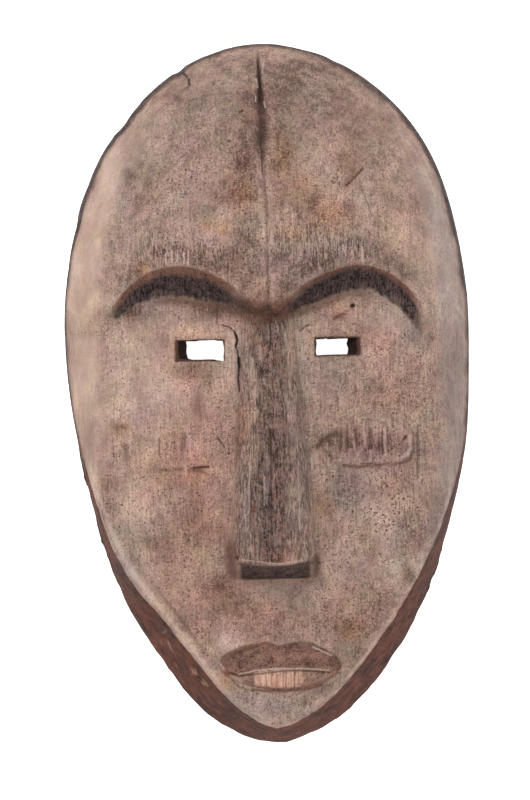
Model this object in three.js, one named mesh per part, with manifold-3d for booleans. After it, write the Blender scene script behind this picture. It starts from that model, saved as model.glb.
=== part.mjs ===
// Carved wooden face mask, lying on its back rim with the face up.
// Millimetres. +Z rises from the rim plane, +Y points to the top of the forehead,
// and +X is the right-hand side of somebody looking at the face.
// The mask is one block of wood: a domed front, a hollow back and two pierced eye slits.

import * as THREE from 'three';
import { mergeVertices } from 'three/addons/utils/BufferGeometryUtils.js';
import Module from 'manifold-3d';

const wasm = await Module();
wasm.setup();

// Rim outline, an egg whose widest level lies above mid-height
const HALF_WIDTH = 144.6;
const WIDEST_Y = 45;
const REACH_UP = 205;
const REACH_DOWN = 296;

// Where the hand-cut outline leaves a true egg: angle and spread in degrees, and how far out
const RIM_SWELLS = [
  { angle: 50, spread: 20, out: 4.8 },
  { angle: 138, spread: 18, out: 2.2 },
  { angle: -32, spread: 14, out: 2.2 },
  { angle: -76, spread: 11, out: -2.7 },
  { angle: -132, spread: 26, out: -5 },
  { angle: -108, spread: 9, out: -6.5 },
];

// Chips broken out of the rim itself
const RIM_CHIPS = [
  { angle: 123, spread: 4, out: -2.8 },
  { angle: 107.5, spread: 1.4, out: -2.2 },
  { angle: 74.5, spread: 1.6, out: -1.4 },
  { angle: -69.8, spread: 1.6, out: -1.6 },
  { angle: -85, spread: 2.4, out: -1.2 },
];

// Domed forehead, which rolls over the sides down to the rim
const DOME_HEIGHT = 125;
const DOME_SPREAD = 2.2;
const DOME_FULLNESS = 2.3;

// Recessed face below the brows, on its centre line and at its outer edge
const EYE_LEVEL_HEIGHT = 101;
const FACE_FALL = 0.045;
const MUZZLE_HEIGHT = 9;
const MUZZLE_Y = -182;
const MUZZLE_SPREAD = 42;
const CHIN_DROP = 11;
const CHIN_START_Y = -203;
const CHIN_END_Y = -240;
const FACE_EDGE_HEIGHT = 88;
const FACE_EDGE_FALL = 0.05;
const FACE_EDGE_SPAN = 0.8;
const FACE_ROUND = 1.9;
const FACE_LAST_SPAN = 1.6;
const NARROWEST_ALONG = 0.995;

// Jaw: the face ends in an edge and a side wall flares from it down to the rim.
// Gaps are shares of the way from the widest level's centre to the rim.
const JAW_GAP_LEAST = 0.03;
const JAW_GAP_LEFT = { angle: 14, swell: 0.086, inner: 9.2, outer: 15.5 };
const JAW_GAP_RIGHT = { angle: 19, swell: 0.067, inner: 14.1, outer: 15.3 };
const JAW_FULL_ANGLE = 32;
const JAW_FADE_ANGLE = 84;
const JAW_EDGE_HEIGHT = 80;
const JAW_WALL_BULGE = 0.9;
const WALL_HALVINGS = 24;
const JAW_EDGE_ROUND = 7;
const SIDE_EDGE_ROUND = 18;

// Brow arches, each the foot and the crest of the step from the face up to the forehead
const BROW_LEFT = {
  crest: { from: 8, to: 119, inner: 60.3, outer: 33.1, rise: 43.2, lean: 1.3, round: 0.6 },
  foot: { from: 0, to: 119, inner: 50.9, outer: 43.1, rise: 22.3, lean: 1.3, round: 1.0 },
};
const BROW_RIGHT = {
  crest: { from: 8, to: 114, inner: 58.5, outer: 45, rise: 39, lean: 1.25, round: 0.7 },
  foot: { from: 8, to: 110, inner: 51.2, outer: 23.7, rise: 38.2, lean: 1.9, round: 0.6 },
};
const BROW_LEAST_WIDTH = 8;

// Nose, a long wedge that widens and rises from between the brows to a cut end
const NOSE_X = 0.8;
const NOSE_TOP_Y = 62;
const NOSE_END_Y = -117.5;
const NOSE_FOOT_Y = -129;
const NOSE_TOP_HALF = 17.5;
const NOSE_END_HALF = 30;
const NOSE_TOP_RISE = 9;
const NOSE_END_RISE = 46;
const NOSE_TOP_SQUARE = 2.2;
const NOSE_END_SQUARE = 3.6;
const NOSE_FLANK = 1.5;
const NOSE_END_CURVE = 4;

// Mouth, a lens cut in two bevels that meet at the lip line
const MOUTH_X = 4;
const MOUTH_Y = -188.5;
const MOUTH_HALF = 43;
const MOUTH_UPPER = 15.5;
const MOUTH_LOWER = 16.5;
const MOUTH_UPPER_DEPTH = 4.5;
const MOUTH_LOWER_DEPTH = 7;
const MOUTH_TAPER = 0.6;
const MOUTH_TILT = -0.03;

// Eye slits, level at the face and leaning to the middle as they go in.
// Each is its inner and outer x, its top y and its heights at those two ends.
const EYE_SLITS = [
  { inner: -30.1, outer: -63.0, top: 37.6, innerHeight: 14.4, outerHeight: 12.6, lean: -0.55 },
  { inner: 33.7, outer: 63.8, top: 37.3, innerHeight: 11.6, outerHeight: 11.6, lean: 0.6 },
];
const EYE_CORNER = 1.4;
const EYE_CUT_FROM = 60;
const EYE_CUT_TO = 130;
const EYE_LEVEL = 98;

// Hollow back
const RIM_THICKNESS = 13;
const WALL_THICKNESS = 12;
const HOLLOW_HEIGHT = 106;
const HOLLOW_SPREAD = 3.2;
const HOLLOW_FULLNESS = 2.2;
const HOLLOW_BLEND = 10;
const HOLLOW_FOREHEAD_RISE = 16;
const HOLLOW_RISE_FROM = 60;
const HOLLOW_RISE_TO = 125;
const HOLLOW_CUT_TO = -6;

// Facets
const FRONT_COLUMNS = 54;
const FRONT_ROWS = 66;
const HOLLOW_COLUMNS = 22;
const HOLLOW_ROWS = 32;
const FLANK_COLUMNS = 0.24;
const GRID_SAMPLES = 400;

const DEGREES = 180 / Math.PI;

function clamp01(value) {
  return Math.min(1, Math.max(0, value));
}

function mix(a, b, share) {
  return a + (b - a) * share;
}

function smoothStep(from, to, value) {
  const share = clamp01((value - from) / (to - from));
  return share * share * (3 - 2 * share);
}

function bell(value, middle, spread) {
  return Math.exp(-(((value - middle) / spread) ** 2));
}

// The lesser of two heights, with the crossing rounded over a width in height
function softMin(a, b, width) {
  const overlap = Math.max(width - Math.abs(a - b), 0) / width;
  return Math.min(a, b) - (overlap * overlap * width) / 4;
}

function departure(places, angle) {
  let out = 0;
  for (const place of places) {
    out += place.out * bell(angle * DEGREES, place.angle, place.spread);
  }
  return out;
}

// Distance from the egg's centre to the unbroken rim in a direction given in radians
function rimRadius(angle) {
  const across = Math.cos(angle) / HALF_WIDTH;
  const along = Math.sin(angle) / (Math.sin(angle) > 0 ? REACH_UP : REACH_DOWN);
  return 1 / Math.hypot(across, along) + departure(RIM_SWELLS, angle);
}

// Share of the way from the centre to the rim, and the direction, of a plan point
function eggPlace(x, y) {
  const angle = Math.atan2(y - WIDEST_Y, x);
  return { share: Math.hypot(x, y - WIDEST_Y) / rimRadius(angle), angle };
}

// Half the rim's width at a level
function halfWidthAt(y) {
  const along = Math.abs(y - WIDEST_Y) / (y > WIDEST_Y ? REACH_UP : REACH_DOWN);
  return HALF_WIDTH * Math.sqrt(1 - Math.min(along, NARROWEST_ALONG) ** 2);
}

function domeHeight(share) {
  return DOME_HEIGHT * (1 - Math.min(share, 1) ** DOME_SPREAD) ** (1 / DOME_FULLNESS);
}

// Jaw wall's share of the plan, by the angle from straight down
function jawGap(angle) {
  const gap = Math.cos(angle) > 0 ? JAW_GAP_RIGHT : JAW_GAP_LEFT;
  const turn = Math.abs(angle * DEGREES + 90);
  const spread = turn < gap.angle ? gap.inner : gap.outer;
  return JAW_GAP_LEAST + gap.swell * bell(turn, gap.angle, spread * Math.SQRT2);
}

// One where the wall is the flared jaw, nought where it is the rolled side
function jawShare(angle) {
  const turn = Math.abs(angle * DEGREES + 90);
  return 1 - smoothStep(JAW_FULL_ANGLE, JAW_FADE_ANGLE, turn);
}

// How far in from the rim the wall has come at a height, as a share of the plan
function wallInset(height, angle) {
  const fall = (1 - (height / DOME_HEIGHT) ** DOME_FULLNESS) ** (1 / DOME_SPREAD);
  const jaw = jawGap(angle) * (height / JAW_EDGE_HEIGHT) ** (1 / JAW_WALL_BULGE);
  return mix(1 - fall, jaw, jawShare(angle));
}

// Height of the wall over a plan place, found by halving
function wallHeight(place) {
  let low = 0;
  let high = DOME_HEIGHT;
  for (let k = 0; k < WALL_HALVINGS; k += 1) {
    const middle = (low + high) / 2;
    if (wallInset(middle, place.angle) < 1 - place.share) low = middle;
    else high = middle;
  }
  return low;
}

// Recessed face, a shallow cushion that falls to its outer edge
function faceHeight(x, y) {
  const muzzle = MUZZLE_HEIGHT * bell(y, MUZZLE_Y, MUZZLE_SPREAD);
  const chin = CHIN_DROP * smoothStep(CHIN_START_Y, CHIN_END_Y, y);
  const below = WIDEST_Y - y;
  const middle = EYE_LEVEL_HEIGHT - FACE_FALL * below + muzzle - chin;
  const edge = FACE_EDGE_HEIGHT - FACE_EDGE_FALL * below - chin / 2;
  const out = Math.abs(x) / (FACE_EDGE_SPAN * halfWidthAt(y));
  return middle - (middle - edge) * Math.min(out, FACE_LAST_SPAN) ** FACE_ROUND;
}

function archY(arch, out) {
  const share = clamp01((out - arch.from) / (arch.to - arch.from));
  const swell = Math.sin(Math.PI * share ** arch.lean) ** arch.round;
  return mix(arch.inner, arch.outer, share) + arch.rise * Math.max(swell, 0);
}

// Nought on the recessed face, one on the forehead
function browShare(x, y) {
  const brow = x < 0 ? BROW_LEFT : BROW_RIGHT;
  const foot = archY(brow.foot, Math.abs(x));
  const crest = Math.max(archY(brow.crest, Math.abs(x)), foot + BROW_LEAST_WIDTH);
  return smoothStep(foot, crest, y);
}

// Share of the way down the nose, and half its width there
function noseStation(y) {
  const down = clamp01((NOSE_TOP_Y - y) / (NOSE_TOP_Y - NOSE_END_Y));
  return { down, half: mix(NOSE_TOP_HALF, NOSE_END_HALF, down) };
}

function noseRise(x, y) {
  const { down, half } = noseStation(y);
  const out = Math.abs(x - NOSE_X) / half;
  if (out >= 1 || y < NOSE_FOOT_Y) return 0;
  const square = mix(NOSE_TOP_SQUARE, NOSE_END_SQUARE, down);
  const section = (1 - out ** square) ** (1 / NOSE_FLANK);
  const lip = NOSE_END_Y + NOSE_END_CURVE * out * out;
  const cut = clamp01((y - NOSE_FOOT_Y) / (lip - NOSE_FOOT_Y));
  return mix(NOSE_TOP_RISE, NOSE_END_RISE, down) * section * cut;
}

function mouthDepth(x, y) {
  const out = (x - MOUTH_X) / MOUTH_HALF;
  if (Math.abs(out) >= 1) return 0;
  const level = y - MOUTH_Y - MOUTH_TILT * (x - MOUTH_X);
  const lens = (1 - out * out) ** MOUTH_TAPER;
  const reach = (level > 0 ? MOUTH_UPPER : MOUTH_LOWER) * lens;
  const depth = level > 0 ? MOUTH_UPPER_DEPTH : MOUTH_LOWER_DEPTH;
  return depth * Math.sqrt(lens) * clamp01(1 - Math.abs(level) / reach);
}

// Face and side wall without the nose and the mouth
function plainHeight(x, y) {
  const place = eggPlace(x, y);
  const edge = mix(SIDE_EDGE_ROUND, JAW_EDGE_ROUND, jawShare(place.angle));
  const low = softMin(faceHeight(x, y), wallHeight(place), edge);
  return mix(low, domeHeight(place.share), browShare(x, y));
}

function frontHeight(x, y) {
  const below = 1 - browShare(x, y);
  return plainHeight(x, y) + below * noseRise(x, y) - mouthDepth(x, y);
}

function hollowHeight(x, y) {
  const angle = Math.atan2(y - WIDEST_Y, x);
  const share = Math.hypot(x, y - WIDEST_Y) / (rimRadius(angle) - RIM_THICKNESS);
  const bowl = (1 - Math.min(share, 1) ** HOLLOW_SPREAD) ** (1 / HOLLOW_FULLNESS);
  const forehead = HOLLOW_FOREHEAD_RISE * smoothStep(HOLLOW_RISE_FROM, HOLLOW_RISE_TO, y);
  const ceiling = faceHeight(x, y) + forehead - WALL_THICKNESS;
  return softMin(HOLLOW_HEIGHT * bowl, ceiling, HOLLOW_BLEND);
}

// Grid lines from -1 to 1, closer together where the weight is greater
function gridLines(count, weight) {
  const samples = GRID_SAMPLES;
  const sums = [0];
  for (let i = 0; i < samples; i += 1) {
    sums.push(sums[i] + weight(-1 + (2 * (i + 0.5)) / samples));
  }
  const lines = [];
  let at = 0;
  for (let k = 0; k <= count; k += 1) {
    const goal = (sums[samples] * k) / count;
    while (at < samples - 1 && sums[at + 1] < goal) at += 1;
    const within = (goal - sums[at]) / (sums[at + 1] - sums[at]);
    lines.push(-1 + (2 * (at + within)) / samples);
  }
  lines[0] = -1;
  lines[count] = 1;
  return lines;
}

// Plan point of a grid place: the square grid is rounded to a disc and the disc to the egg.
// The columns nearest the middle are drawn together to follow the nose's flanks.
function planPoint(a, b, inset) {
  const flank = noseStation(WIDEST_Y + b * (b > 0 ? REACH_UP : REACH_DOWN)).half / NOSE_END_HALF;
  const across = a * mix(flank, 1, smoothStep(FLANK_COLUMNS, 1, Math.abs(a)));
  const u = across * Math.sqrt(1 - (b * b) / 2);
  const v = b * Math.sqrt(1 - (across * across) / 2);
  const dx = u * HALF_WIDTH;
  const dy = v * (v > 0 ? REACH_UP : REACH_DOWN);
  const angle = Math.atan2(dy, dx);
  const reach = Math.hypot(u, v) * (rimRadius(angle) + departure(RIM_CHIPS, angle) - inset);
  return [reach * Math.cos(angle), WIDEST_Y + reach * Math.sin(angle)];
}

// Closed solid under a height function, down to a flat base
function reliefSolid(columns, rows, inset, height, base) {
  const positions = [];
  const across = columns.length;
  const border = (i, j) => i === 0 || j === 0 || i === across - 1 || j === rows.length - 1;
  for (let j = 0; j < rows.length; j += 1) {
    for (let i = 0; i < across; i += 1) {
      const [x, y] = planPoint(columns[i], rows[j], inset);
      positions.push(x, y, border(i, j) ? base : height(x, y));
    }
  }
  const index = [];
  for (let j = 0; j < rows.length - 1; j += 1) {
    for (let i = 0; i < across - 1; i += 1) {
      const corner = j * across + i;
      const quad = [corner, corner + 1, corner + across + 1, corner + across];
      const turned = (columns[i] + columns[i + 1]) * (rows[j] + rows[j + 1]) > 0;
      const order = turned ? [0, 1, 3, 1, 2, 3] : [0, 1, 2, 0, 2, 3];
      for (const place of order) index.push(quad[place]);
    }
  }
  const loop = borderLoop(across, rows.length);
  const centre = positions.length / 3;
  positions.push(0, WIDEST_Y, base);
  for (let k = 0; k < loop.length; k += 1) {
    index.push(centre, loop[(k + 1) % loop.length], loop[k]);
  }
  return solidFrom(positions, index);
}

// Vertex numbers round the edge of a grid, anticlockwise from above
function borderLoop(across, up) {
  const loop = [];
  for (let i = 0; i < across - 1; i += 1) loop.push(i);
  for (let j = 0; j < up - 1; j += 1) loop.push(j * across + across - 1);
  for (let i = across - 1; i > 0; i -= 1) loop.push((up - 1) * across + i);
  for (let j = up - 1; j > 0; j -= 1) loop.push(j * across);
  return loop;
}

function solidFrom(positions, index) {
  return new wasm.Manifold(new wasm.Mesh({
    numProp: 3,
    vertProperties: new Float32Array(positions),
    triVerts: new Uint32Array(index),
  }));
}

// Leaning prism that cuts one eye slit
function eyeSlitSolid(slit) {
  const sign = Math.sign(slit.outer - slit.inner);
  const width = Math.abs(slit.outer - slit.inner);
  const corners = [
    [0, -slit.innerHeight],
    [width, -slit.outerHeight],
    [width, 0],
    [0, 0],
  ].map(([x, y]) => new THREE.Vector2(x, y));
  const shape = new THREE.Shape();
  corners.forEach((corner, k) => {
    const before = corners[(k + 3) % 4].clone().sub(corner).normalize();
    const after = corners[(k + 1) % 4].clone().sub(corner).normalize();
    const start = corner.clone().addScaledVector(before, EYE_CORNER);
    const end = corner.clone().addScaledVector(after, EYE_CORNER);
    if (k === 0) shape.moveTo(start.x, start.y);
    else shape.lineTo(start.x, start.y);
    shape.quadraticCurveTo(corner.x, corner.y, end.x, end.y);
  });
  shape.closePath();
  const depth = EYE_CUT_TO - EYE_CUT_FROM;
  const prism = new THREE.ExtrudeGeometry(shape, { depth, bevelEnabled: false, curveSegments: 3 });
  if (sign < 0) {
    prism.scale(-1, 1, 1);
    flipFaces(prism);
  }
  const lean = new THREE.Matrix4().set(
    1, 0, slit.lean, slit.inner - slit.lean * (EYE_LEVEL - EYE_CUT_FROM),
    0, 1, 0, slit.top,
    0, 0, 1, EYE_CUT_FROM,
    0, 0, 0, 1,
  );
  prism.applyMatrix4(lean);
  prism.deleteAttribute('normal');
  prism.deleteAttribute('uv');
  const merged = mergeVertices(prism);
  return solidFrom(merged.attributes.position.array, merged.index.array);
}

// Turns a mirrored, unindexed geometry's triangles the right way out again
function flipFaces(geometry) {
  const place = geometry.attributes.position;
  for (let i = 0; i < place.count; i += 3) {
    const first = new THREE.Vector3().fromBufferAttribute(place, i);
    const second = new THREE.Vector3().fromBufferAttribute(place, i + 1);
    place.setXYZ(i, second.x, second.y, second.z);
    place.setXYZ(i + 1, first.x, first.y, first.z);
  }
}

function geometryFrom(solid) {
  const mesh = solid.getMesh();
  const geometry = new THREE.BufferGeometry();
  const position = new Float32Array(mesh.vertProperties);
  geometry.setAttribute('position', new THREE.BufferAttribute(position, 3));
  geometry.setIndex(new THREE.BufferAttribute(new Uint32Array(mesh.triVerts), 1));
  geometry.computeVertexNormals();
  return geometry;
}

// Finer facets at the nose's flanks and in the walls
function columnWeight(a) {
  return 1 + 2.2 * bell(Math.abs(a), 0.21, 0.04) + 1.8 * bell(Math.abs(a), 0.97, 0.09);
}

// Finer facets at the rim, brows, eyes, nose end and mouth
function rowWeight(b) {
  const rim = 2.2 * bell(Math.abs(b), 0.97, 0.07);
  const brow = 1.8 * bell(b, 0.09, 0.09);
  const noseEnd = 2.2 * bell(b, -0.575, 0.03);
  const mouth = 2 * bell(b, -0.8, 0.06);
  return 1 + rim + brow + noseEnd + mouth;
}

function rimWeight(a) {
  return 1 + 1.5 * bell(Math.abs(a), 0.97, 0.12);
}

function carvedMask() {
  const front = reliefSolid(
    gridLines(FRONT_COLUMNS, columnWeight),
    gridLines(FRONT_ROWS, rowWeight),
    0,
    frontHeight,
    0,
  );
  const hollow = reliefSolid(
    gridLines(HOLLOW_COLUMNS, rimWeight),
    gridLines(HOLLOW_ROWS, rimWeight),
    RIM_THICKNESS,
    hollowHeight,
    HOLLOW_CUT_TO,
  );
  let mask = front.subtract(hollow);
  for (const slit of EYE_SLITS) {
    mask = mask.subtract(eyeSlitSolid(slit));
  }
  return mask;
}

function kaolinWood() {
  return new THREE.MeshStandardMaterial({ color: '#a58a7d', roughness: 0.88, metalness: 0 });
}

const part = new THREE.Group();
const mask = new THREE.Mesh(geometryFrom(carvedMask()), kaolinWood());
mask.name = 'mask';
part.add(mask);

export default part;
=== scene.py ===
import math

import bpy
import numpy as np
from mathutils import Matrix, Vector


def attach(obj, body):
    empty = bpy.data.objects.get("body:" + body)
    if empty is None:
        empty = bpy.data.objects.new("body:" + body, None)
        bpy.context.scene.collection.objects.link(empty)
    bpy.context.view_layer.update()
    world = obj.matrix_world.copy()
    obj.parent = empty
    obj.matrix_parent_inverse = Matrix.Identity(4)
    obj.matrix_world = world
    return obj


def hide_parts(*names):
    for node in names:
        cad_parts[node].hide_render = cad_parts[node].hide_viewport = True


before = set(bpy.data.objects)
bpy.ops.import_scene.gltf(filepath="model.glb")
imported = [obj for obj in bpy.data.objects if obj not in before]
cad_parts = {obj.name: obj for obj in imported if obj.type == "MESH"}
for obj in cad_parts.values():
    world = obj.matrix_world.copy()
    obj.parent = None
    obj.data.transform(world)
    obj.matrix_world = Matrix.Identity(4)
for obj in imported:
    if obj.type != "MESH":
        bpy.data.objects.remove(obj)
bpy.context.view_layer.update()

# Shapes are worked out in millimetres and made in metres

# Rim outline, an egg whose widest level lies above mid-height
HALF_WIDTH = 144.6
WIDEST_Y = 45.0
REACH_UP = 205.0
REACH_DOWN = 296.0
LOWEST_Y = -249.9

# Where the hand-cut outline leaves a true egg: angle, spread and distance out
RIM_SWELLS = [
    (50, 20, 4.8), (138, 18, 2.2), (-32, 14, 2.2), (-76, 11, -2.7), (-132, 26, -5.0),
    (-108, 9, -6.5),
]

# Chips broken out of the rim itself, and the swells between them
RIM_CHIPS = [
    (123, 4, -2.8), (128.5, 1.6, -0.8), (118.4, 1.0, -0.9), (107.5, 1.4, -2.2), (74.5, 1.6, -1.4),
    (66.0, 1.1, -0.5), (-69.8, 1.6, -1.6), (-63.0, 1.0, -1.2), (-57.5, 0.9, -0.8), (-85, 2.4, -1.2),
    (-96.5, 1.2, -0.8), (-121.0, 1.3, -0.7), (-144, 4.5, 1.8), (-131, 3.0, 1.8), (-96, 4.5, -1.3),
    (-89, 2.5, 0.8), (-57, 4.0, 1.3), (9, 5.0, 0.6), (82, 4.0, -1.6), (104.5, 3.0, 0.9),
    (113, 3.5, 0.9), (129.5, 2.4, 1.3), (139.5, 2.6, -1.3), (151, 4.0, -1.3), (160, 6.0, -0.7),
]

# Stretches of the rim, in degrees anticlockwise from the right: from, to and softness
BROKEN_RIM = (98, 150, 8)
UPPER_LEFT = (98, 152, 8)
UPPER_RIGHT = (10, 78, 8)

# How deep the rim is ragged all round, broken at the upper left and notched at the chin
RIM_RAGGED = 0.5
RIM_BROKEN = 2.3
RIM_NOTCHED = 1.4
CHIP_FROM_SHARE = 0.80

# Domed forehead
DOME_HEIGHT = 125.0
DOME_SPREAD = 2.2
DOME_FULLNESS = 2.3

# Recessed face
EYE_LEVEL_HEIGHT = 101.0
FACE_FALL = 0.045
MUZZLE_HEIGHT = 9.0
MUZZLE_Y = -182.0
MUZZLE_SPREAD = 42.0
CHIN_DROP = 11.0
CHIN_START_Y = -203.0
CHIN_END_Y = -240.0
FACE_EDGE_HEIGHT = 88.0
FACE_EDGE_FALL = 0.05
FACE_EDGE_SPAN = 0.8
FACE_ROUND = 1.9
FACE_LAST_SPAN = 1.6
NARROWEST_ALONG = 0.995

# Jaw wall: angle, swell and spreads of the gap between the face and the rim
JAW_GAP_LEAST = 0.03
JAW_GAP_LEFT = (14.0, 0.086, 9.2, 15.5)
JAW_GAP_RIGHT = (19.0, 0.067, 14.1, 15.3)
JAW_FULL_ANGLE = 32.0
JAW_FADE_ANGLE = 84.0
JAW_EDGE_HEIGHT = 80.0
JAW_WALL_BULGE = 0.9
WALL_HALVINGS = 24
JAW_EDGE_ROUND = 7.0
SIDE_EDGE_ROUND = 18.0

# Brow arches: from, to, inner, outer, rise, lean and round of a crest and a foot
BROW_LEFT = {
    "crest": (8, 119, 60.3, 33.1, 43.2, 1.3, 0.6),
    "foot": (0, 119, 50.9, 43.1, 22.3, 1.3, 1.0),
}
BROW_RIGHT = {
    "crest": (8, 114, 58.5, 45.0, 39.0, 1.25, 0.7),
    "foot": (8, 110, 51.2, 23.7, 38.2, 1.9, 0.6),
}
BROW_LEAST_WIDTH = 8.0

# Nose wedge
NOSE_X = 0.8
NOSE_TOP_Y = 62.0
NOSE_END_Y = -117.5
NOSE_FOOT_Y = -129.0
NOSE_TOP_HALF = 17.5
NOSE_END_HALF = 30.0
NOSE_TOP_RISE = 9.0
NOSE_END_RISE = 46.0
NOSE_TOP_SQUARE = 2.2
NOSE_END_SQUARE = 3.6
NOSE_FLANK = 1.5
NOSE_END_CURVE = 4.0

# Where the dark front of the nose runs: two levels, and its left and right edges there
NOSE_DARK_Y = [-117, 33]
NOSE_DARK_LEFT = [-14.8, -8.2]
NOSE_DARK_RIGHT = [14.1, 13.8]

# Mouth lens
MOUTH_X = 4.0
MOUTH_Y = -188.5
MOUTH_HALF = 43.0
MOUTH_UPPER = 15.5
MOUTH_LOWER = 16.5
MOUTH_UPPER_DEPTH = 4.5
MOUTH_LOWER_DEPTH = 7.0
MOUTH_TAPER = 0.6
MOUTH_TILT = -0.03
MOUTH_DIP_X = 3.6
MOUTH_DIP = 0.16
MOUTH_DIP_SPREAD = 5

# Upper lip's lower edge, and how deep the lip and the teeth lie
LIP_X = [-38, -28, -20, -8, 4, 18, 30, 42]
LIP_LEVEL = [-6.0, -8.0, -6.0, -3.9, -3.0, -2.8, -3.6, -4.6]
LIP_DEPTH = 4.6
LIP_BEAD = 0.9
TEETH_DEPTH = 6.4
LEAST = 1e-6

# Highest point, the lip of the nose, and how low the front may come inside the rim
TOP_HEIGHT = 139.4
LEAST_HEIGHT = 0.4

# Eye slits: inner x, outer x, top y, inner and outer height, lean
EYE_SLITS = [
    (-30.1, -63.0, 37.6, 14.4, 12.6, -0.55),
    (33.7, 63.8, 37.3, 11.6, 11.6, 0.6),
]
EYE_CORNER = 1.4
EYE_STEP = 1.4
EYE_WOBBLE = 0.95
EYE_CUT_FROM = 60.0
EYE_CUT_TO = 130.0
EYE_LEVEL = 98.0

# Hollow back
RIM_THICKNESS = 13.0
WALL_THICKNESS = 12.0
HOLLOW_HEIGHT = 106.0
HOLLOW_SPREAD = 3.2
HOLLOW_FULLNESS = 2.2
HOLLOW_BLEND = 10.0
HOLLOW_FOREHEAD_RISE = 16.0
HOLLOW_RISE_FROM = 60.0
HOLLOW_RISE_TO = 125.0

# Adze marks in the hollow
ADZE_WIDE = 15
ADZE_LONG = 26
ADZE_DEPTH = 1.1

# Mesh grids
FRONT_COLUMNS = 236
FRONT_ROWS = 326
HOLLOW_COLUMNS = 84
HOLLOW_ROWS = 116
FLANK_COLUMNS = 0.24
GRID_SAMPLES = 8001

# Levels with closer rows, such as the brows, cheek cuts and mouth: from, to, softness, how much
CLOSER_ROWS = [
    (14, 102, 8, 0.55), (-15, 14, 8, 0.25), (-56, -15, 5, 0.55), (-132, -108, 4, 0.6),
    (-209, -166, 6, 0.55),
]

# Edges between faces that turn further than this stay sharp
SHARP_ANGLE = math.radians(62)

# Places on the map that the finish is laid out on: left, bottom, right, top
MAP_FRONT = (0.0, 0.0, 0.74, 1.0)
MAP_HOLLOW = (0.75, 0.0, 1.0, 0.5)
MAP_RIM = (0.75, 0.51, 1.0, 0.92)
MAP_SLITS = (0.75, 0.93, 1.0, 1.0)
MAP_GAP = 0.005
RIM_MAP_SPAN = (300, 510)
SLIT_MAP_FROM = 80
SLIT_MAP_SPAN = 26

# The face's own middle line, which wanders from side to side: y and x
MIDDLE_Y = [-250, -232, -191, -117, -39, 51, 84, 132, 158, 196, 235]
MIDDLE_X = [1.5, 1.7, 2.6, 2.1, 2.1, 2.5, 1.6, 1.6, 0.1, -0.4, -1.7]

# Cut line down the forehead: y, depth and half-width, then y and darkness
GROOVE_Y = [60, 120, 156, 172, 200, 208, 228, 236, 243]
GROOVE_DEPTH = [0.5, 0.5, 0.9, 1.8, 2.4, 3.4, 2.2, 1.0, 0.2]
GROOVE_HALF = [0.9, 0.9, 1.3, 2.6, 2.6, 1.7, 1.0, 0.8, 0.7]
GROOVE_DARK_Y = [60, 150, 180, 198, 204, 220, 226, 236, 243]
GROOVE_DARK = [0.35, 0.4, 0.4, 0.45, 0.9, 0.9, 0.55, 0.45, 0.1]
GROOVE_BOTTOM_Y = 40
GROOVE_TOP_Y = 245

# Floor, lights and camera, in metres
FLOOR_HALF = 5.0
FLOOR_LEVEL = -0.0004
LIGHT_WIDTH = 1.6
WORLD_STRENGTH = 0.62
CAMERA_LENS = 188.5
CAMERA_PLACE = (-0.00225, -0.00454, 3.0)
CAMERA_TURN = math.radians(-1.3)

# Cuts and ridges wider than a millimetre: half-width, strength and points along them
DARK_CUTS = [
    (2.8, 0.4, [(33.1, -37.8), (36, -34), (40.5, -31.3), (47, -28.3)]),
    (1.3, 0.38, [(50, -27.7), (49.7, -38.4)]), (1.3, 0.35, [(54.2, -23), (53.9, -40.5)]),
    (1.4, 0.35, [(60.2, -26), (60.4, -42)]), (1.7, 0.42, [(70.1, -26.8), (69.8, -39.3)]),
    (0.9, 0.4, [(76.3, -28.3), (76.7, -40.8)]),
    (1.1, 0.42, [(100.5, -28.9), (100.6, -40), (98, -48.2), (93.8, -50.2)]),
    (1.0, 0.65, [(93.5, -34.3), (95.6, -31.6)]), (0.9, 0.4, [(103.4, -24.1), (102.6, -62.2)]),
    (1.4, 0.4, [(40.6, -41.4), (43.3, -46.3)]), (2.1, 0.5, [(-52, -51.2), (-47, -50.5)]),
    (1.2, 0.5, [(-56.5, -51.8), (-42.3, -49.8)]), (1.7, 0.4, [(-75.3, -51.8), (-60.9, -51.2)]),
    (2.6, 0.35, [(-100.5, -34), (-99.5, -43)]), (2.2, 0.3, [(-65, -27), (-65.4, -39)]),
    (2.2, 0.35, [(-60, -27), (-60, -38)]), (1.0, 0.5, [(-55.4, -26.7), (-54.7, -26.8)]),
    (1.0, 0.4, [(-29.5, -198.5), (-24.7, -203.1), (-15.8, -205.6)]),
    (1.4, 0.4, [(-29.8, -181.9), (-20.7, -177.6), (-10.9, -175)]),
    (1.4, 0.45, [(11.3, -175.2), (18.9, -172.9), (26.5, -174.2), (36.1, -179.9)]),
    (1.1, 0.95, [(-24.3, -112.6), (-23.8, -112.5)]), (1.2, 0.7, [(1, -25), (1, -42.1)]),
]
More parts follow.
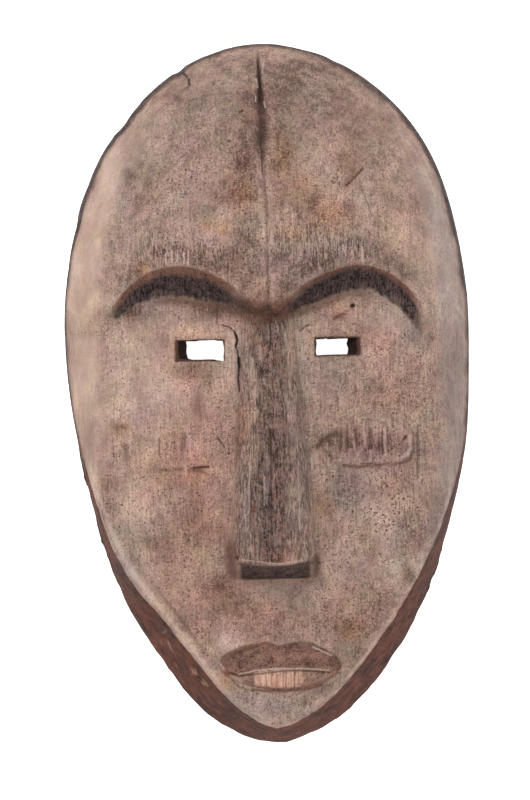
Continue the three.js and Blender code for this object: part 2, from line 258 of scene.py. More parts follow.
RUST_CUTS = [
    (1.5, 0.75, [(50.8, -51.3), (62.6, -52.3), (79.9, -51.3), (93.8, -50.2)]),
    (1.7, 0.4, [(35, -44), (39, -51.1), (41.6, -59.4)]), (1.1, 0.5, [(-53.9, -53.3), (-46.3, -53)]),
    (2.6, 0.5, [(-106.5, -21.4), (-98.9, -20.9)]),
    (1.1, 0.9, [(-15.8, -205.4), (-6.8, -206), (7.1, -206.5), (21, -205.7), (32.8, -203.4)]),
    (1.8, 0.5, [(43.6, -184.2), (46, -189.2), (44.8, -193.3)]),
    (1.2, 0.6, [(-11, -75.5), (-10.9, -81)]), (1.5, 0.55, [(8.6, -104), (12.6, -108.3)]),
    (1.1, 0.6, [(18.8, -108.4), (19, -113.2)]),
    (1.3, 0.7, [(-22, -116.4), (-4, -119.2), (10, -119.6), (28, -117.4)]),
    (1.4, 0.45, [(4.7, -66.9), (12.1, -72.6)]), (1.2, 0.5, [(5.4, 28.4), (5.3, 21.6)]),
    (1.2, 0.6, [(69.2, 154.4), (64, 149), (57.6, 143)]), (3.0, 0.5, [(56.9, 143), (62.7, 152.5)]),
    (1.5, 0.5, [(47.3, 51), (54.2, 53.9)]), (1.0, 0.4, [(43.8, 47.6), (48.7, 50.9)]),
]
PALE_RIDGES = [
    (1.6, 0.45, [(-50.5, -199.9), (-47, -203.5)]), (1.3, 0.4, [(-55.3, -192.7), (-57.5, -196.2)]),
    (1.2, 0.35, [(-74.6, -172.5), (-71.9, -179.6)]), (1.2, 0.4, [(-78, -166.8), (-75.8, -164.7)]),
    (1.5, 0.45, [(-58, -193), (-54.6, -195.9)]), (1.3, 0.5, [(-50.5, -202.4), (-47, -203.9)]),
    (1.2, 0.35, [(-70.6, -189.2), (-68.6, -192.1)]), (1.0, 0.35, [(-80.1, -172.1), (-78.8, -175.6)]),
    (2.6, 0.45, [(-5.1, 32.3), (-4.6, 24)]), (0.9, 0.4, [(6.6, 49.3), (8.5, 39.6)]),
    (0.8, 0.4, [(11.4, 46.4), (12.9, 38.1)]), (0.9, 0.5, [(-4, -56.4), (-3.7, -72.8)]),
    (1.2, 0.5, [(-3.2, 11.5), (-2.3, 6.7)]), (1.0, 0.7, [(58.1, -34.2), (59.4, -38.4), (60.7, -43.9)]),
    (1.2, 0.45, [(66.2, -28.1), (66.4, -37.8)]), (1.3, 0.6, [(70.5, -41.4), (69.9, -49)]),
    (1.1, 0.75, [(80.5, -27.1), (80.4, -38.8)]), (1.0, 0.7, [(80.5, -40.2), (80.6, -45.1)]),
    (1.6, 0.65, [(88.2, -23.8), (93.6, -28), (98, -33), (98.2, -39.2), (96, -44.7), (91.8, -46.7)]),
    (1.0, 0.8, [(28.8, -45.3), (29.3, -52.9)]), (1.5, 0.6, [(-55.6, -27), (-54.9, -43)]),
    (1.2, 0.4, [(-69.5, -27), (-69.8, -43)]), (1.0, 0.4, [(-78.2, -23.5), (-78.5, -37.3)]),
    (1.8, 0.6, [(-37.8, -186.6), (-35.2, -191.5)]), (1.5, 0.5, [(-30, -195.5), (-23, -199.5)]),
    # The first below is a painted highlight on the raised rim above the right of the lip
    (1.0, 0.5, [(35.6, -174.4), (42.4, -180.1)]), (1.0, 0.5, [(1, 224.1), (2.6, 235.1)]),
]

# Cracks and lines finer than the mesh, drawn by the material
# A crack beside the nose and a hole under the brow, which are also cut in
CRACK_STROKES = [
    (0.45, 0.9, [(-30.8, 47.9), (-25.3, 46), (-21.9, 42.5)]),
    (0.8, 1.3, [(-21.9, 42.5), (-20.4, 37.6), (-21.4, 32.8)]), (0.5, 1, [(-21.4, 32.8), (-19.7, 25.1)]),
    (0.95, 1.4, [(-19.7, 25.1), (-19.5, 18.9)]),
    (0.6, 1.2, [(-19.5, 18.9), (-20.3, 10.6), (-19.8, 2.2)]), (1.25, 1.8, [(59.6, 59.5), (60.3, 59.8)]),
]
FINE_DARK = CRACK_STROKES + [
    (0.8, 0.8, [(-28.4, -40.5), (-28.0, -41.2)]), (0.7, 0.6, [(46.4, 50.2), (49.4, 52.4)]),
    (0.5, 0.5, [(52.4, 54), (55, 53.6)]), (0.8, 0.75, [(69.2, 154.4), (64, 149), (57.6, 143)]),
    (0.9, 0.95, [(-15.2, 195.6), (-13, 196.8)]), (0.8, 0.85, [(-23.2, 175.1), (-22.6, 174.9)]),
    (0.6, 0.8, [(23.1, 42.8), (25.6, 44.8)]), (0.6, 0.8, [(27.3, 46.2), (29.4, 46.8)]),
    (0.9, 0.8, [(33.5, 26.6), (35.2, 28), (38.7, 27)]),
    (0.8, 1.0, [(-1, 219.4), (-0.9, 211.4), (-1.1, 202.9)]), (0.5, 0.7, [(-1.9, 233.4), (-1.6, 221.6)]),
    (0.5, 0.7, [(-1.1, 177.4), (-0.7, 153.1)]), (0.6, 0.9, [(2.6, 49.4), (2.7, 40.4), (2.1, 30)]),
    (0.6, 0.7, [(78.6, -28.4), (78.4, -44.3)]), (0.6, 0.5, [(82.4, -27.1), (82.1, -41)]),
    (0.5, 0.7, [(63.3, -50.2), (70.9, -50.4)]), (0.6, 0.8, [(-52.6, -50.2), (-42.3, -50)]),
    (0.6, 0.6, [(-76.2, -29.7), (-76.5, -40.8)]), (0.6, 0.5, [(-58.1, -26.7), (-58.6, -35.7)]),
    (0.6, 0.6, [(-68.6, -27.8), (-69.5, -25.7)]),
    (0.7, 0.8, [(-35.7, -30), (-33, -33.5), (-31.3, -36.6)]),
    (0.6, 0.6, [(-23.8, -195.6), (10.9, -192.6), (34, -194.6)]),
    (0.45, 0.6, [(-5.6, -193.5), (-5.7, -203.2)]), (0.4, 0.4, [(6.3, -193.8), (5.9, -204.2)]),
    (0.4, 0.6, [(8, -193.8), (7.8, -204.2)]), (0.5, 0.65, [(13.8, -193.3), (13.8, -203.7)]),
    (0.4, 0.35, [(1.1, -194.4), (1.1, -204.1)]), (0.4, 0.35, [(-15.5, -194.7), (-15.4, -203.7)]),
    (0.4, 0.5, [(-10.3, -194.4), (-10.2, -203)]), (0.4, 0.45, [(-2.1, -194), (-2.2, -201.5)]),
    (0.4, 0.4, [(16.8, -194.6), (16.7, -203)]), (0.8, 0.6, [(1, -42.1), (0.4, -73), (-0.1, -105.9)]),
    (1.0, 1.0, [(-54.9, 228.3), (-52.3, 224.2)]), (0.9, 1.0, [(-50.8, 222.2), (-50.3, 218)]),
    (0.45, 0.5, [(-50.3, 217.6), (-58.2, 212.4)]),
    (0.5, 0.5, [(67.2, 142.1), (71.1, 131.6), (74.3, 121.2)]), (0.5, 0.5, [(16.5, 59.2), (31.7, 62.3)]),
]
# Painted highlight along the upper lip's lower edge, which is also raised
LIP_HIGHLIGHT_STROKES = [
    (0.55, 0.75, [(-25.2, -194.7), (-13.3, -191.9), (0.5, -190.9), (17.9, -191.3), (38.6, -193.7)]),
]
FINE_PALE = LIP_HIGHLIGHT_STROKES + [
    (0.45, 0.4, [(-17.3, -59.4), (-17.6, -94.1)]), (0.45, 0.5, [(-13.9, -47.1), (-15, -81.7)]),
    (0.5, 0.5, [(19.7, -47.8), (19.7, -94.9)]), (0.6, 0.8, [(-3.4, 219.8), (-2.8, 217.7)]),
    (0.5, 0.7, [(2, 202.6), (2.4, 198.8)]), (0.5, 0.6, [(-4.2, 206.6), (-4.1, 203.1)]),
    # Painted highlight on the raised rim above the right of the lip
    (0.7, 0.7, [(27.2, -176.3), (39.5, -182.8)]),
    (0.5, 0.45, [(-20.4, -113.5), (-10.8, -114.6), (-2.6, -115.9), (5.6, -116.5), (20, -114.6)]),
    (0.5, 0.8, [(-68.3, 97.6), (-68.5, 91.5)]), (0.5, 0.95, [(-64.2, 99.6), (-64.2, 92)]),
    (0.5, 0.75, [(-60.4, 97.5), (-60.6, 92)]), (0.5, 0.95, [(-55.9, 98), (-55.9, 90.5)]),
    (0.5, 0.85, [(-52.8, 98.7), (-53, 89.7)]), (0.6, 0.8, [(67.3, 99.4), (67.4, 89.7)]),
    (0.6, 0.6, [(60.4, 96.8), (60.6, 92)]), (0.5, 0.6, [(53.9, 101.1), (55.8, 94.1)]),
    (0.6, 0.7, [(-2.7, 216.6), (-2.5, 213.2)]),
]

# Soft patches of the finish: middle x and y, half-width, half-height and strength
# Tone is darker below nought
PATCHES = {
    "tone": [
        (-54, 60, 10, 5.5, -0.3), (-21, 20, 14, 15, 0.22), (78, 12, 10, 9, 0.22),
        (-91, -116, 18, 14, 0.22), (-75, 100, 8, 6, -0.2), (100, 36, 10, 8, -0.25),
        (88, -47, 18, 10, -0.22), (-74, 165, 8, 10, 0.18), (7, -215, 9, 6, 0.22),
        (-13, 160, 9, 18, -0.75), (-19, 138, 17, 9, -0.4), (-31, 58, 12, 6, -0.7),
        (-96, 59, 10, 6, -0.6), (-56, 17, 14, 8, -0.65), (-125, -64, 6, 17, 1), (-90, -73, 19, 19, 0.3),
        (-35, -131, 10, 10, -0.75), (-16, -148, 14, 7, -0.45), (76, -87, 12, 24, 0.48),
        (99, -94, 8, 26, -0.3), (78, -147, 14, 12, -0.5), (96, -130, 6, 8, -0.85),
        (53, -173, 11, 8, 0.45), (-58, -172, 8, 7, 0.35), (40, 227, 15, 7, -0.35),
        (-7, 228, 8, 6, -0.3), (73, 201, 18, 8, 0.3), (59, 180, 10, 8, -0.25), (82, 159, 10, 10, -0.3),
        (102, 76, 9, 8, -0.3), (-87, 122, 17, 9, 0.25), (-121, 145, 8, 11, -0.35),
        (-91, 32, 25, 14, 0.25), (56, -26, 11, 25, -0.2), (-35, -67, 8, 26, 0.2),
        (-41, -206, 9, 14, 0.4), (-17, -59, 5.5, 41, -0.2), (70, 128, 6, 15, 0.4),
        (95, 112, 6, 12, 0.35), (41, 161, 7, 10, 0.35), (32, 128, 8, 15, -0.3), (108, 132, 6, 8, -0.35),
        (40, 211, 22, 10, 0.3), (66, 167, 8, 7, -0.15), (-70, 192, 9, 8, 0.3), (-29, 211, 19, 10, 0.3),
        (-28, 114, 9, 12, 0.4), (-72, 101, 7, 4, -0.4), (-96, 164, 9, 14, -0.4), (0, -223, 19, 9, 0.18),
        (-68, 149, 17, 8, -0.2), (0, 67, 14, 6, -0.3), (-39, 208, 42, 15, -0.25),
        (41, 210, 42, 18, -0.45), (-3, 169, 10, 42, -0.35), (18, 99, 42, 18, -0.3),
        (-24, 92, 28, 14, -0.3), (12, 163, 10, 15, -0.5), (-54, 156, 35, 42, 0.05),
        (108, 97, 21, 49, 0.3), (80, 0, 30, 25, -0.2), (78, -82, 30, 30, -0.05),
        (62, -145, 26, 28, -0.5), (-50, -150, 22, 22, -0.3), (2, -216, 30, 10, -0.05),
        (66, -36, 34, 9, -0.3), (-50, 45, 24, 6, 0.25), (-26, 24, 5, 26, 0.3), (53, 123, 28, 21, -0.15),
        (-82, 126, 18, 15, -0.15), (-75, -3, 32, 35, 0.3), (-67, -100, 21, 28, -0.2),
        (52, -67, 11, 15, -0.35), (76, -76, 18, 17, 0.1), (-2, -150, 24, 15, -0.15),
        (-9, -229, 5.5, 3.5, 0.5), (50, 8, 17, 17, -0.15), (42, -33, 14, 7, -0.4),
        (80, -38, 20, 8, -0.25), (-90, -72, 14, 28, 0.15), (57, -172, 18, 21, -0.1),
        (-23, -143, 14, 10, -0.25), (-16, -25, 5.5, 42, -0.15), (22, -26, 5.5, 42, -0.1),
        (56, -150, 9, 9, 0.35), (-33, -171, 10, 9, 0.7), (-11, -213, 7, 8, 0.35), (33, -213, 7, 6, 0.3),
        (-122, 37, 7, 9, 0.35), (-100, 6, 9, 20, 0.35), (-33, -25, 9, 9, -0.35), (33, -88, 8, 10, 0.3),
        (-65, 58, 45, 7, -0.12),
    ],
    "pink": [
        (-54, 16, 18, 11, 0.45), (-72, -112, 18, 14, 0.35), (-46, -94, 14, 11, 0.4),
        (-35, -139, 12, 10, 0.3), (1, -154, 21, 14, 0.35), (50, 55, 7, 3.5, 0.6), (74, -36, 28, 9, 0.8),
        (-56, -160, 14, 20, 0.4), (-48, -17, 21, 32, 0.65), (-83, 16, 15, 28, 0.25),
        (-50, -69, 19, 30, 0.6), (-21, 134, 14, 11, 0.5), (-27, -133, 17, 10, 0.6),
        (-45, 99, 28, 7, 0.35), (19, 90, 28, 8, 0.35), (0, 69, 12, 7, 0.5), (56, 59, 12, 5.5, 0.5),
        (36, -9, 10, 14, 0.6), (-53, 42, 21, 8, 0.6), (-83, -51, 35, 25, 0.6), (-39, -80, 18, 28, 0.25),
        (68, 39, 25, 12, 0.7), (88, 7, 18, 28, 0.5), (80, -69, 21, 18, 0.5), (-64, -135, 21, 18, 0.7),
        (-16, -157, 28, 18, 0.5), (50, -151, 21, 21, 0.5), (4, -199, 15, 7, 0.5),
        (-35, -194, 4, 5.5, 0.8),
    ],
    "cool": [
        (-80, 72, 18, 11, 0.8), (35, 74, 18, 10, 0.7), (78, 73, 14, 11, 0.6), (-18, -72, 5.5, 38, 0.6),
        (18, -60, 5.5, 34, 0.5), (-8, 220, 41, 14, 0.35), (34, 210, 21, 14, 0.35),
        (-52, 168, 40, 40, 0.25), (74, -38, 28, 11, 1), (-83, 16, 15, 28, 0.35), (57, -70, 17, 14, 0.6),
        (84, -107, 12, 18, 0.6), (36, -5, 10, 14, 0.7), (-99, 144, 14, 41, 0.4),
        (-34, 200, 17, 14, 0.4), (101, 40, 7, 10, 0.7), (-107, -125, 12, 32, 0.7),
        (-15, -213, 17, 8, 0.5), (26, 168, 7, 21, 0.3), (-19, 12, 4, 30, 0.6), (23, 8, 4, 36, 0.6),
        (-18, -85, 5, 26, 0.6), (24, -70, 5, 40, 0.6), (-3, -68, 3, 14, 0.8), (17, 89, 32, 15, 0.8),
        (-52, 101, 32, 10, 0.8), (60, 98, 21, 10, 0.6), (52, -67, 15, 18, 1), (50, 12, 12, 15, 0.6),
        (27, 196, 32, 21, 0.4), (-2, -67, 5, 18, 0.9), (-43, 170, 28, 32, 0.2), (92, 42, 11, 18, 0.6),
        (-7, -216, 32, 11, 0.6), (-17, -181, 14, 5.5, 0.5), (54, -117, 11, 15, 0.4),
    ],
    "ochre": [
        (-53, -200, 10, 6, 0.6), (-87, -160, 7, 10, 0.45), (-34, -200, 5, 7, 0.6),
        (58, 161, 8, 12, 0.5), (57, 122, 8, 5.5, 0.2), (20, 110, 10, 7, 0.5), (54, -168, 8, 8, 0.5),
        (40, -79, 7, 8, 0.5), (-13, 140, 5.5, 10, 0.4), (-70, -190, 3.5, 3, 1.6),
        (-57, -193, 3, 3, 1.6), (-49, -202, 4, 3, 1.6), (-80, -183, 3.5, 4, 1),
        (-65, -208, 5.5, 4, 0.8), (-87, -158, 5.5, 7, 0.5), (-29, 114, 7, 6, 0.8),
        (-40, 116, 4, 3.5, 0.9), (-85, 88, 5, 5.5, 0.9), (-4, 29, 4, 7, 0.4), (-18, -21, 4, 21, 0.6),
        (-103, -22, 8, 6, 0.5), (-12, -79, 2, 3.5, 1), (4, -70, 3.5, 3.5, 0.7), (6, -112, 10, 5, 0.6),
        (-20, 138, 5.5, 11, 0.4), (25, 137, 15, 15, 0.45), (46, 123, 14, 11, 0.5),
        (13, 163, 8, 15, 0.6), (-33, 163, 21, 28, 0.2), (-64, 32, 5.5, 5.5, 0.3),
        (-4, 75, 10, 14, 0.25), (-62, -58, 17, 7, 0.3), (94, 111, 17, 21, 0.2),
        (-123, 68, 10, 62, 0.15), (34, -75, 6, 11, 0.4), (-56, -100, 18, 14, 0.25),
    ],
    "brown": [
        (-49, -7, 6, 17, 0.55), (-70, -29, 8, 5.5, 0.4), (-52, -76, 8, 17, 0.45),
        (-64, -86, 11, 8, 0.3), (-9, 191, 6, 11, 0.5), (16, 207, 15, 6, 0.4), (61, 154, 11, 7, 0.45),
        (24, 148, 7, 11, 0.35), (-35, 117, 6, 5.5, 0.3), (-77, -103, 14, 10, 0.3),
        (71, -117, 7, 21, 0.4), (50, -165, 8, 11, 0.45), (39, 189, 18, 8, 0.3), (4, 124, 8, 18, 0.4),
        (-83, -72, 8, 10, 0.25), (40, -106, 10, 15, 0.3), (96, -55, 7, 18, 0.35),
        (52, -61, 12, 5.5, 0.35), (-35, -146, 12, 7, 0.35), (19, -152, 11, 8, 0.3),
        (-42, 53, 14, 3.5, 0.3), (50, 52, 6, 3, 0.6), (-103, -21, 5, 4, 0.5), (15, 96, 10, 12, 0.3),
        (-17, 92, 12, 10, 0.3), (83, 94, 11, 6, 0.3),
    ],
    "pits": [
        (-2, 73, 18, 10, 0.6), (80, -69, 18, 18, 1), (79, -93, 21, 14, 0.9), (53, -165, 15, 18, 1),
        (85, 1, 18, 15, 0.6), (-74, -128, 18, 18, 0.6), (-44, 10, 10, 10, 0.5), (-49, -87, 25, 28, 0.4),
        (-34, -35, 8, 10, 0.7), (-65, -31, 8, 8, 0.5), (-43, 170, 32, 31, 0.5), (4, -213, 28, 10, 0.3),
    ],
    "scratch": [
        (18, 106, 35, 28, 0.8), (-52, 101, 42, 11, 0.8), (59, 102, 35, 14, 0.7),
        (-79, 108, 18, 21, 0.5), (6, 30, 8, 18, 0.5), (-60, 46, 42, 14, 0.2), (4, -213, 32, 10, 0.5),
        (4, -182, 32, 7, 0.5),
    ],
    "plain": [
        (-49, 219, 25, 14, 0.6), (-75, 11, 21, 17, 0.6), (-67, 53, 28, 8, 0.5), (86, 46, 17, 8, 0.7),
        (68, 195, 21, 25, 0.4),
    ],
}


def clamp01(value):
    return np.clip(value, 0.0, 1.0)


def mix(a, b, share):
    return a + (b - a) * share


def smooth_step(start, end, value):
    share = clamp01((value - start) / (end - start))
    return share * share * (3 - 2 * share)


def window(low, high, soft, value):
    """One between low and high, nought outside, with soft edges."""
    rise = smooth_step(low - soft, low + soft, value)
    return rise * (1 - smooth_step(high - soft, high + soft, value))


def bell(value, middle, spread):
    return np.exp(-(((value - middle) / spread) ** 2))


def soft_min(a, b, width):
    overlap = np.maximum(width - np.abs(a - b), 0) / width
    return np.minimum(a, b) - overlap * overlap * width / 4


def noise2(x, y, cell, seed, octaves=1, roughness=0.5):
    """Smooth noise over plan points, about -1 to 1."""
    side = 128
    total = np.zeros(np.broadcast(x, y).shape)
    weight, weights = 1.0, 0.0
    for octave in range(octaves):
        table = np.random.default_rng(seed + octave).uniform(-1, 1, (side, side))
        u, v = x / cell + 512.3, y / cell + 512.7
        column, row = np.floor(u).astype(int), np.floor(v).astype(int)
        across, up = (f * f * f * (f * (f * 6 - 15) + 10) for f in (u - column, v - row))
        column, row = column % side, row % side
        next_column, next_row = (column + 1) % side, (row + 1) % side
        low = mix(table[row, column], table[row, next_column], across)
        high = mix(table[next_row, column], table[next_row, next_column], across)
        total = total + weight * mix(low, high, up)
        weights += weight
        weight *= roughness
        cell /= 2.03
    return total / weights


def departure(places, angle):
    out = np.zeros(np.shape(angle))
    for middle, spread, distance in places:
        out = out + distance * bell(np.degrees(angle), middle, spread)
    return out


def reach_along(up):
    return np.where(up, REACH_UP, REACH_DOWN)


def rim_radius(angle):
    across = np.cos(angle) / HALF_WIDTH
    along = np.sin(angle) / reach_along(np.sin(angle) > 0)
    return 1 / np.hypot(across, along) + departure(RIM_SWELLS, angle)


def rim_loss(angle, share):
    """What chips and saw-toothed breaks take off the rim, in millimetres."""
    degrees = np.degrees(angle)

    def broken(depth, cell, seed, octaves, roughness=0.5):
        return depth * np.abs(noise2(degrees, 0 * degrees, cell, seed, octaves, roughness))

    loss = broken(RIM_RAGGED, 2.2, 81, 3, 0.6)
    loss = loss + broken(RIM_BROKEN, 4.2, 87, 2, 0.4) * window(*BROKEN_RIM, degrees)
    away_from_chin = smooth_step(50, 70, turn_from_chin(angle))
    loss = loss + broken(RIM_NOTCHED, 2.4, 91, 2) * (1 - away_from_chin)
    return loss * share - departure(RIM_CHIPS, angle)


def egg_place(x, y):
    angle = np.arctan2(y - WIDEST_Y, x)
    return np.hypot(x, y - WIDEST_Y) / rim_radius(angle), angle


def half_width_at(y):
    along = np.abs(y - WIDEST_Y) / reach_along(y > WIDEST_Y)
    return HALF_WIDTH * np.sqrt(1 - np.minimum(along, NARROWEST_ALONG) ** 2)


def dome_height(share):
    fall = 1 - np.minimum(share, 1) ** DOME_SPREAD
    return DOME_HEIGHT * fall ** (1 / DOME_FULLNESS)


def turn_from_chin(angle):
    return np.abs(np.degrees(angle) + 90)


def jaw_gap(angle):
    turn = turn_from_chin(angle)
    gaps = []
    for middle, swell, inner, outer in (JAW_GAP_LEFT, JAW_GAP_RIGHT):
        spread = np.where(turn < middle, inner, outer) * math.sqrt(2)
        gaps.append(JAW_GAP_LEAST + swell * bell(turn, middle, spread))
    return np.where(np.cos(angle) > 0, gaps[1], gaps[0])


def jaw_share(angle):
    return 1 - smooth_step(JAW_FULL_ANGLE, JAW_FADE_ANGLE, turn_from_chin(angle))


def wall_inset(height, angle):
    fall = (1 - (height / DOME_HEIGHT) ** DOME_FULLNESS) ** (1 / DOME_SPREAD)
    jaw = jaw_gap(angle) * (height / JAW_EDGE_HEIGHT) ** (1 / JAW_WALL_BULGE)
    return mix(1 - fall, jaw, jaw_share(angle))


def wall_height(share, angle):
    low = np.zeros(np.shape(share))
    high = np.full(np.shape(share), DOME_HEIGHT)
    for _ in range(WALL_HALVINGS):
        middle = (low + high) / 2
        under = wall_inset(middle, angle) < 1 - share
        low = np.where(under, middle, low)
        high = np.where(under, high, middle)
    return low


def face_height(x, y):
    muzzle = MUZZLE_HEIGHT * bell(y, MUZZLE_Y, MUZZLE_SPREAD)
    chin = CHIN_DROP * smooth_step(CHIN_START_Y, CHIN_END_Y, y)
    below = WIDEST_Y - y
    middle = EYE_LEVEL_HEIGHT - FACE_FALL * below + muzzle - chin
    edge = FACE_EDGE_HEIGHT - FACE_EDGE_FALL * below - chin / 2
    out = np.abs(x) / (FACE_EDGE_SPAN * half_width_at(y))
    return middle - (middle - edge) * np.minimum(out, FACE_LAST_SPAN) ** FACE_ROUND


def arch_y(arch, out):
    start, end, inner, outer, rise, lean, roundness = arch
    share = clamp01((out - start) / (end - start))
    swell = np.maximum(np.sin(np.pi * share**lean), 0) ** roundness
    return mix(inner, outer, share) + rise * swell


def brow_lines(x):
    """y of the foot and of the crest of the brow at each x."""
    sides = []
    for brow in (BROW_LEFT, BROW_RIGHT):
        foot = arch_y(brow["foot"], np.abs(x))
        crest = np.maximum(arch_y(brow["crest"], np.abs(x)), foot + BROW_LEAST_WIDTH)
        sides.append(np.array([foot, crest]))
    return np.where(x < 0, *sides)


def brow_share(x, y):
    foot, crest = brow_lines(x)
    return smooth_step(foot, crest, y)


def nose_station(y):
    """How far down the nose a level lies, and the nose's half-width there."""
    down = clamp01((NOSE_TOP_Y - y) / (NOSE_TOP_Y - NOSE_END_Y))
    return down, mix(NOSE_TOP_HALF, NOSE_END_HALF, down)


def nose_lip(out):
    return NOSE_END_Y + NOSE_END_CURVE * out * out


def nose_rise(x, y):
    down, half = nose_station(y)
    out = np.minimum(np.abs(x - NOSE_X) / half, 1)
    square = mix(NOSE_TOP_SQUARE, NOSE_END_SQUARE, down)
    section = (1 - out**square) ** (1 / NOSE_FLANK)
    lip = nose_lip(out)
    cut = clamp01((y - NOSE_FOOT_Y) / (lip - NOSE_FOOT_Y))
    return mix(NOSE_TOP_RISE, NOSE_END_RISE, down) * section * cut


def mouth_lens(x, y):
    """Height above the lip line, the lens's reach there and its fullness."""
    out = np.clip((x - MOUTH_X) / MOUTH_HALF, -1, 1)
    level = y - MOUTH_Y - MOUTH_TILT * (x - MOUTH_X)
    lens = (1 - out * out) ** MOUTH_TAPER
    dip = 1 - MOUTH_DIP * bell(x, MOUTH_DIP_X, MOUTH_DIP_SPREAD)
    reach = np.where(level > 0, MOUTH_UPPER * dip, MOUTH_LOWER) * lens
    return level, np.maximum(reach, LEAST), lens


def mouth_depth(x, y):
    level, reach, lens = mouth_lens(x, y)
    depth = np.where(level > 0, MOUTH_UPPER_DEPTH, MOUTH_LOWER_DEPTH)
    return depth * np.sqrt(lens) * clamp01(1 - np.abs(level) / reach)


def lip_edge(x):
    """Level of the upper lip's lower edge above the lens's middle."""
    return np.interp(x, LIP_X, LIP_LEVEL)


def mouth_carving(x, y):
    """Upper lip sloping in to its edge, and the teeth set back behind it."""
    level, reach, lens = mouth_lens(x, y)
    edge = np.maximum(lip_edge(x), -0.62 * MOUTH_LOWER * lens)
    upper = MOUTH_UPPER * lens + LEAST
    lower = MOUTH_LOWER * lens + LEAST
    slope = clamp01((upper - level) / (upper - edge))
    lip = LIP_DEPTH * slope**0.85 - LIP_BEAD * bell(level, edge, 1.0)
    floor = TEETH_DEPTH * smooth_step(0, 3.2, lower + level)
    step = 1 - smooth_step(edge - 1.3, edge - 0.4, level)
    carved = mix(lip, floor, step) * (np.abs(level) < reach)
    return carved * smooth_step(0, 0.45, lens)


def plain_height(x, y):
    share, angle = egg_place(x, y)
    edge = mix(SIDE_EDGE_ROUND, JAW_EDGE_ROUND, jaw_share(angle))
    low = soft_min(face_height(x, y), wall_height(share, angle), edge)
    return mix(low, dome_height(share), brow_share(x, y))


def front_height(x, y):
    below = 1 - brow_share(x, y)
    return plain_height(x, y) + below * nose_rise(x, y) - mouth_depth(x, y)


def hollow_height(x, y):
    angle = np.arctan2(y - WIDEST_Y, x)
    share = np.hypot(x, y - WIDEST_Y) / (rim_radius(angle) - RIM_THICKNESS)
    bowl = (1 - np.minimum(share, 1) ** HOLLOW_SPREAD) ** (1 / HOLLOW_FULLNESS)
    rise = HOLLOW_FOREHEAD_RISE * smooth_step(HOLLOW_RISE_FROM, HOLLOW_RISE_TO, y)
    ceiling = face_height(x, y) + rise - WALL_THICKNESS
    return soft_min(HOLLOW_HEIGHT * bowl, ceiling, HOLLOW_BLEND)


def segments(strokes):
    """Half-width, strength and both ends of each straight piece of some strokes."""
    for half, strength, points in strokes:
        for start, end in zip(points, points[1:]):
            yield half, strength, start, end


def stroke_mask(x, y, strokes):
    """Strength at each point of the strongest stroke over it."""
    mask = np.zeros(np.shape(x))
    for half, strength, (ax, ay), (bx, by) in segments(strokes):
        dx, dy = bx - ax, by - ay
        along = clamp01(((x - ax) * dx + (y - ay) * dy) / (dx * dx + dy * dy))
        gap = np.hypot(x - ax - along * dx, y - ay - along * dy)
        mask = np.maximum(mask, strength * bell(gap, 0, half))
    return mask


def patches(x, y, name):
    """Sum of the soft patches of one kind."""
    total = np.zeros(np.shape(x))
    for middle_x, middle_y, wide, high, strength in PATCHES[name]:
        out = ((x - middle_x) / wide) ** 2 + ((y - middle_y) / high) ** 2
        total = total + strength * np.exp(-out)
    return total


def slit_gap(x, y, slit):
    """Distance to the nearest edge of an eye slit, nought inside it."""
    inner, outer, top, inner_height, outer_height, _ = slit
    half_y = (inner_height + outer_height) / 4
    out_x = np.abs(x - (inner + outer) / 2) - abs(outer - inner) / 2
    out_y = np.abs(y - (top - half_y)) - half_y
    return np.hypot(np.maximum(out_x, 0), np.maximum(out_y, 0))


class Plan:
    """Where plan points lie on the egg, the jaw and the brows."""

    def __init__(self, x, y):
        self.x, self.y = x, y
        self.share, self.angle = egg_place(x, y)
        self.radius = rim_radius(self.angle)
        self.inset = (1 - self.share) * self.radius
        self.degrees = np.degrees(self.angle)
        self.turn = turn_from_chin(self.angle)
        self.jaw = jaw_share(self.angle)
        # Distance in from the jaw's face edge, less than nought on the wall
        self.edge = (1 - self.share - jaw_gap(self.angle)) * self.radius
        self.left = x < 0
        self.out = np.abs(x)
        self.foot, self.crest = brow_lines(x)
        self.above = brow_share(x, y)
        self.across = x - np.interp(y, MIDDLE_Y, MIDDLE_X)
        self.across_nose = np.abs(x - NOSE_X) / nose_station(y)[1]

    def by_side(self, left, right):
        return np.where(self.left, left, right)


def jaw_relief(plan):
    """Rough cut wall of the jaw, and the raised edge of the face above it."""
    wall = plan.jaw * (1 - smooth_step(-1, 2, plan.edge)) * smooth_step(0.5, 4, plan.inset)
    rough = wall * 1.6 * noise2(plan.x, plan.y, 6.5, 31, 3, 0.6)
    ridge = bell(plan.edge, 4.5, 3.4) - 0.3 * bell(plan.edge, 12.0, 2.8)
    return rough, ridge * window(8, 40, 6, plan.turn) * plan.by_side(1.3, 0.5)


def groove_relief(plan):
    """Cut line down the forehead, between its shoulders on a low keel."""
    depth = np.interp(plan.y, GROOVE_Y, GROOVE_DEPTH, left=0, right=0)
    half = np.interp(plan.y, GROOVE_Y, GROOVE_HALF)
    groove = depth * bell(plan.across, 0, half)
    shoulder = 0.35 * depth * bell(np.abs(plan.across), 2.6 * half, 1.4 * half)
    keel = 1.2 * bell(plan.across, 0, 6) * window(70, 165, 18, plan.y)
    return plan.above * (keel + shoulder - groove)


def nose_relief(plan):
    """Long plane marks down the nose."""
    on_nose = window(NOSE_END_Y + 1, NOSE_TOP_Y - 8, 3, plan.y)
    on_nose = on_nose * (1 - smooth_step(0.86, 1.02, plan.across_nose))
    x, y = plan.x, plan.y
    return on_nose * (noise2(x, y / 14, 2.6, 41, 2) * 0.4 + noise2(x, y / 5, 6.0, 43, 1) * 0.5)


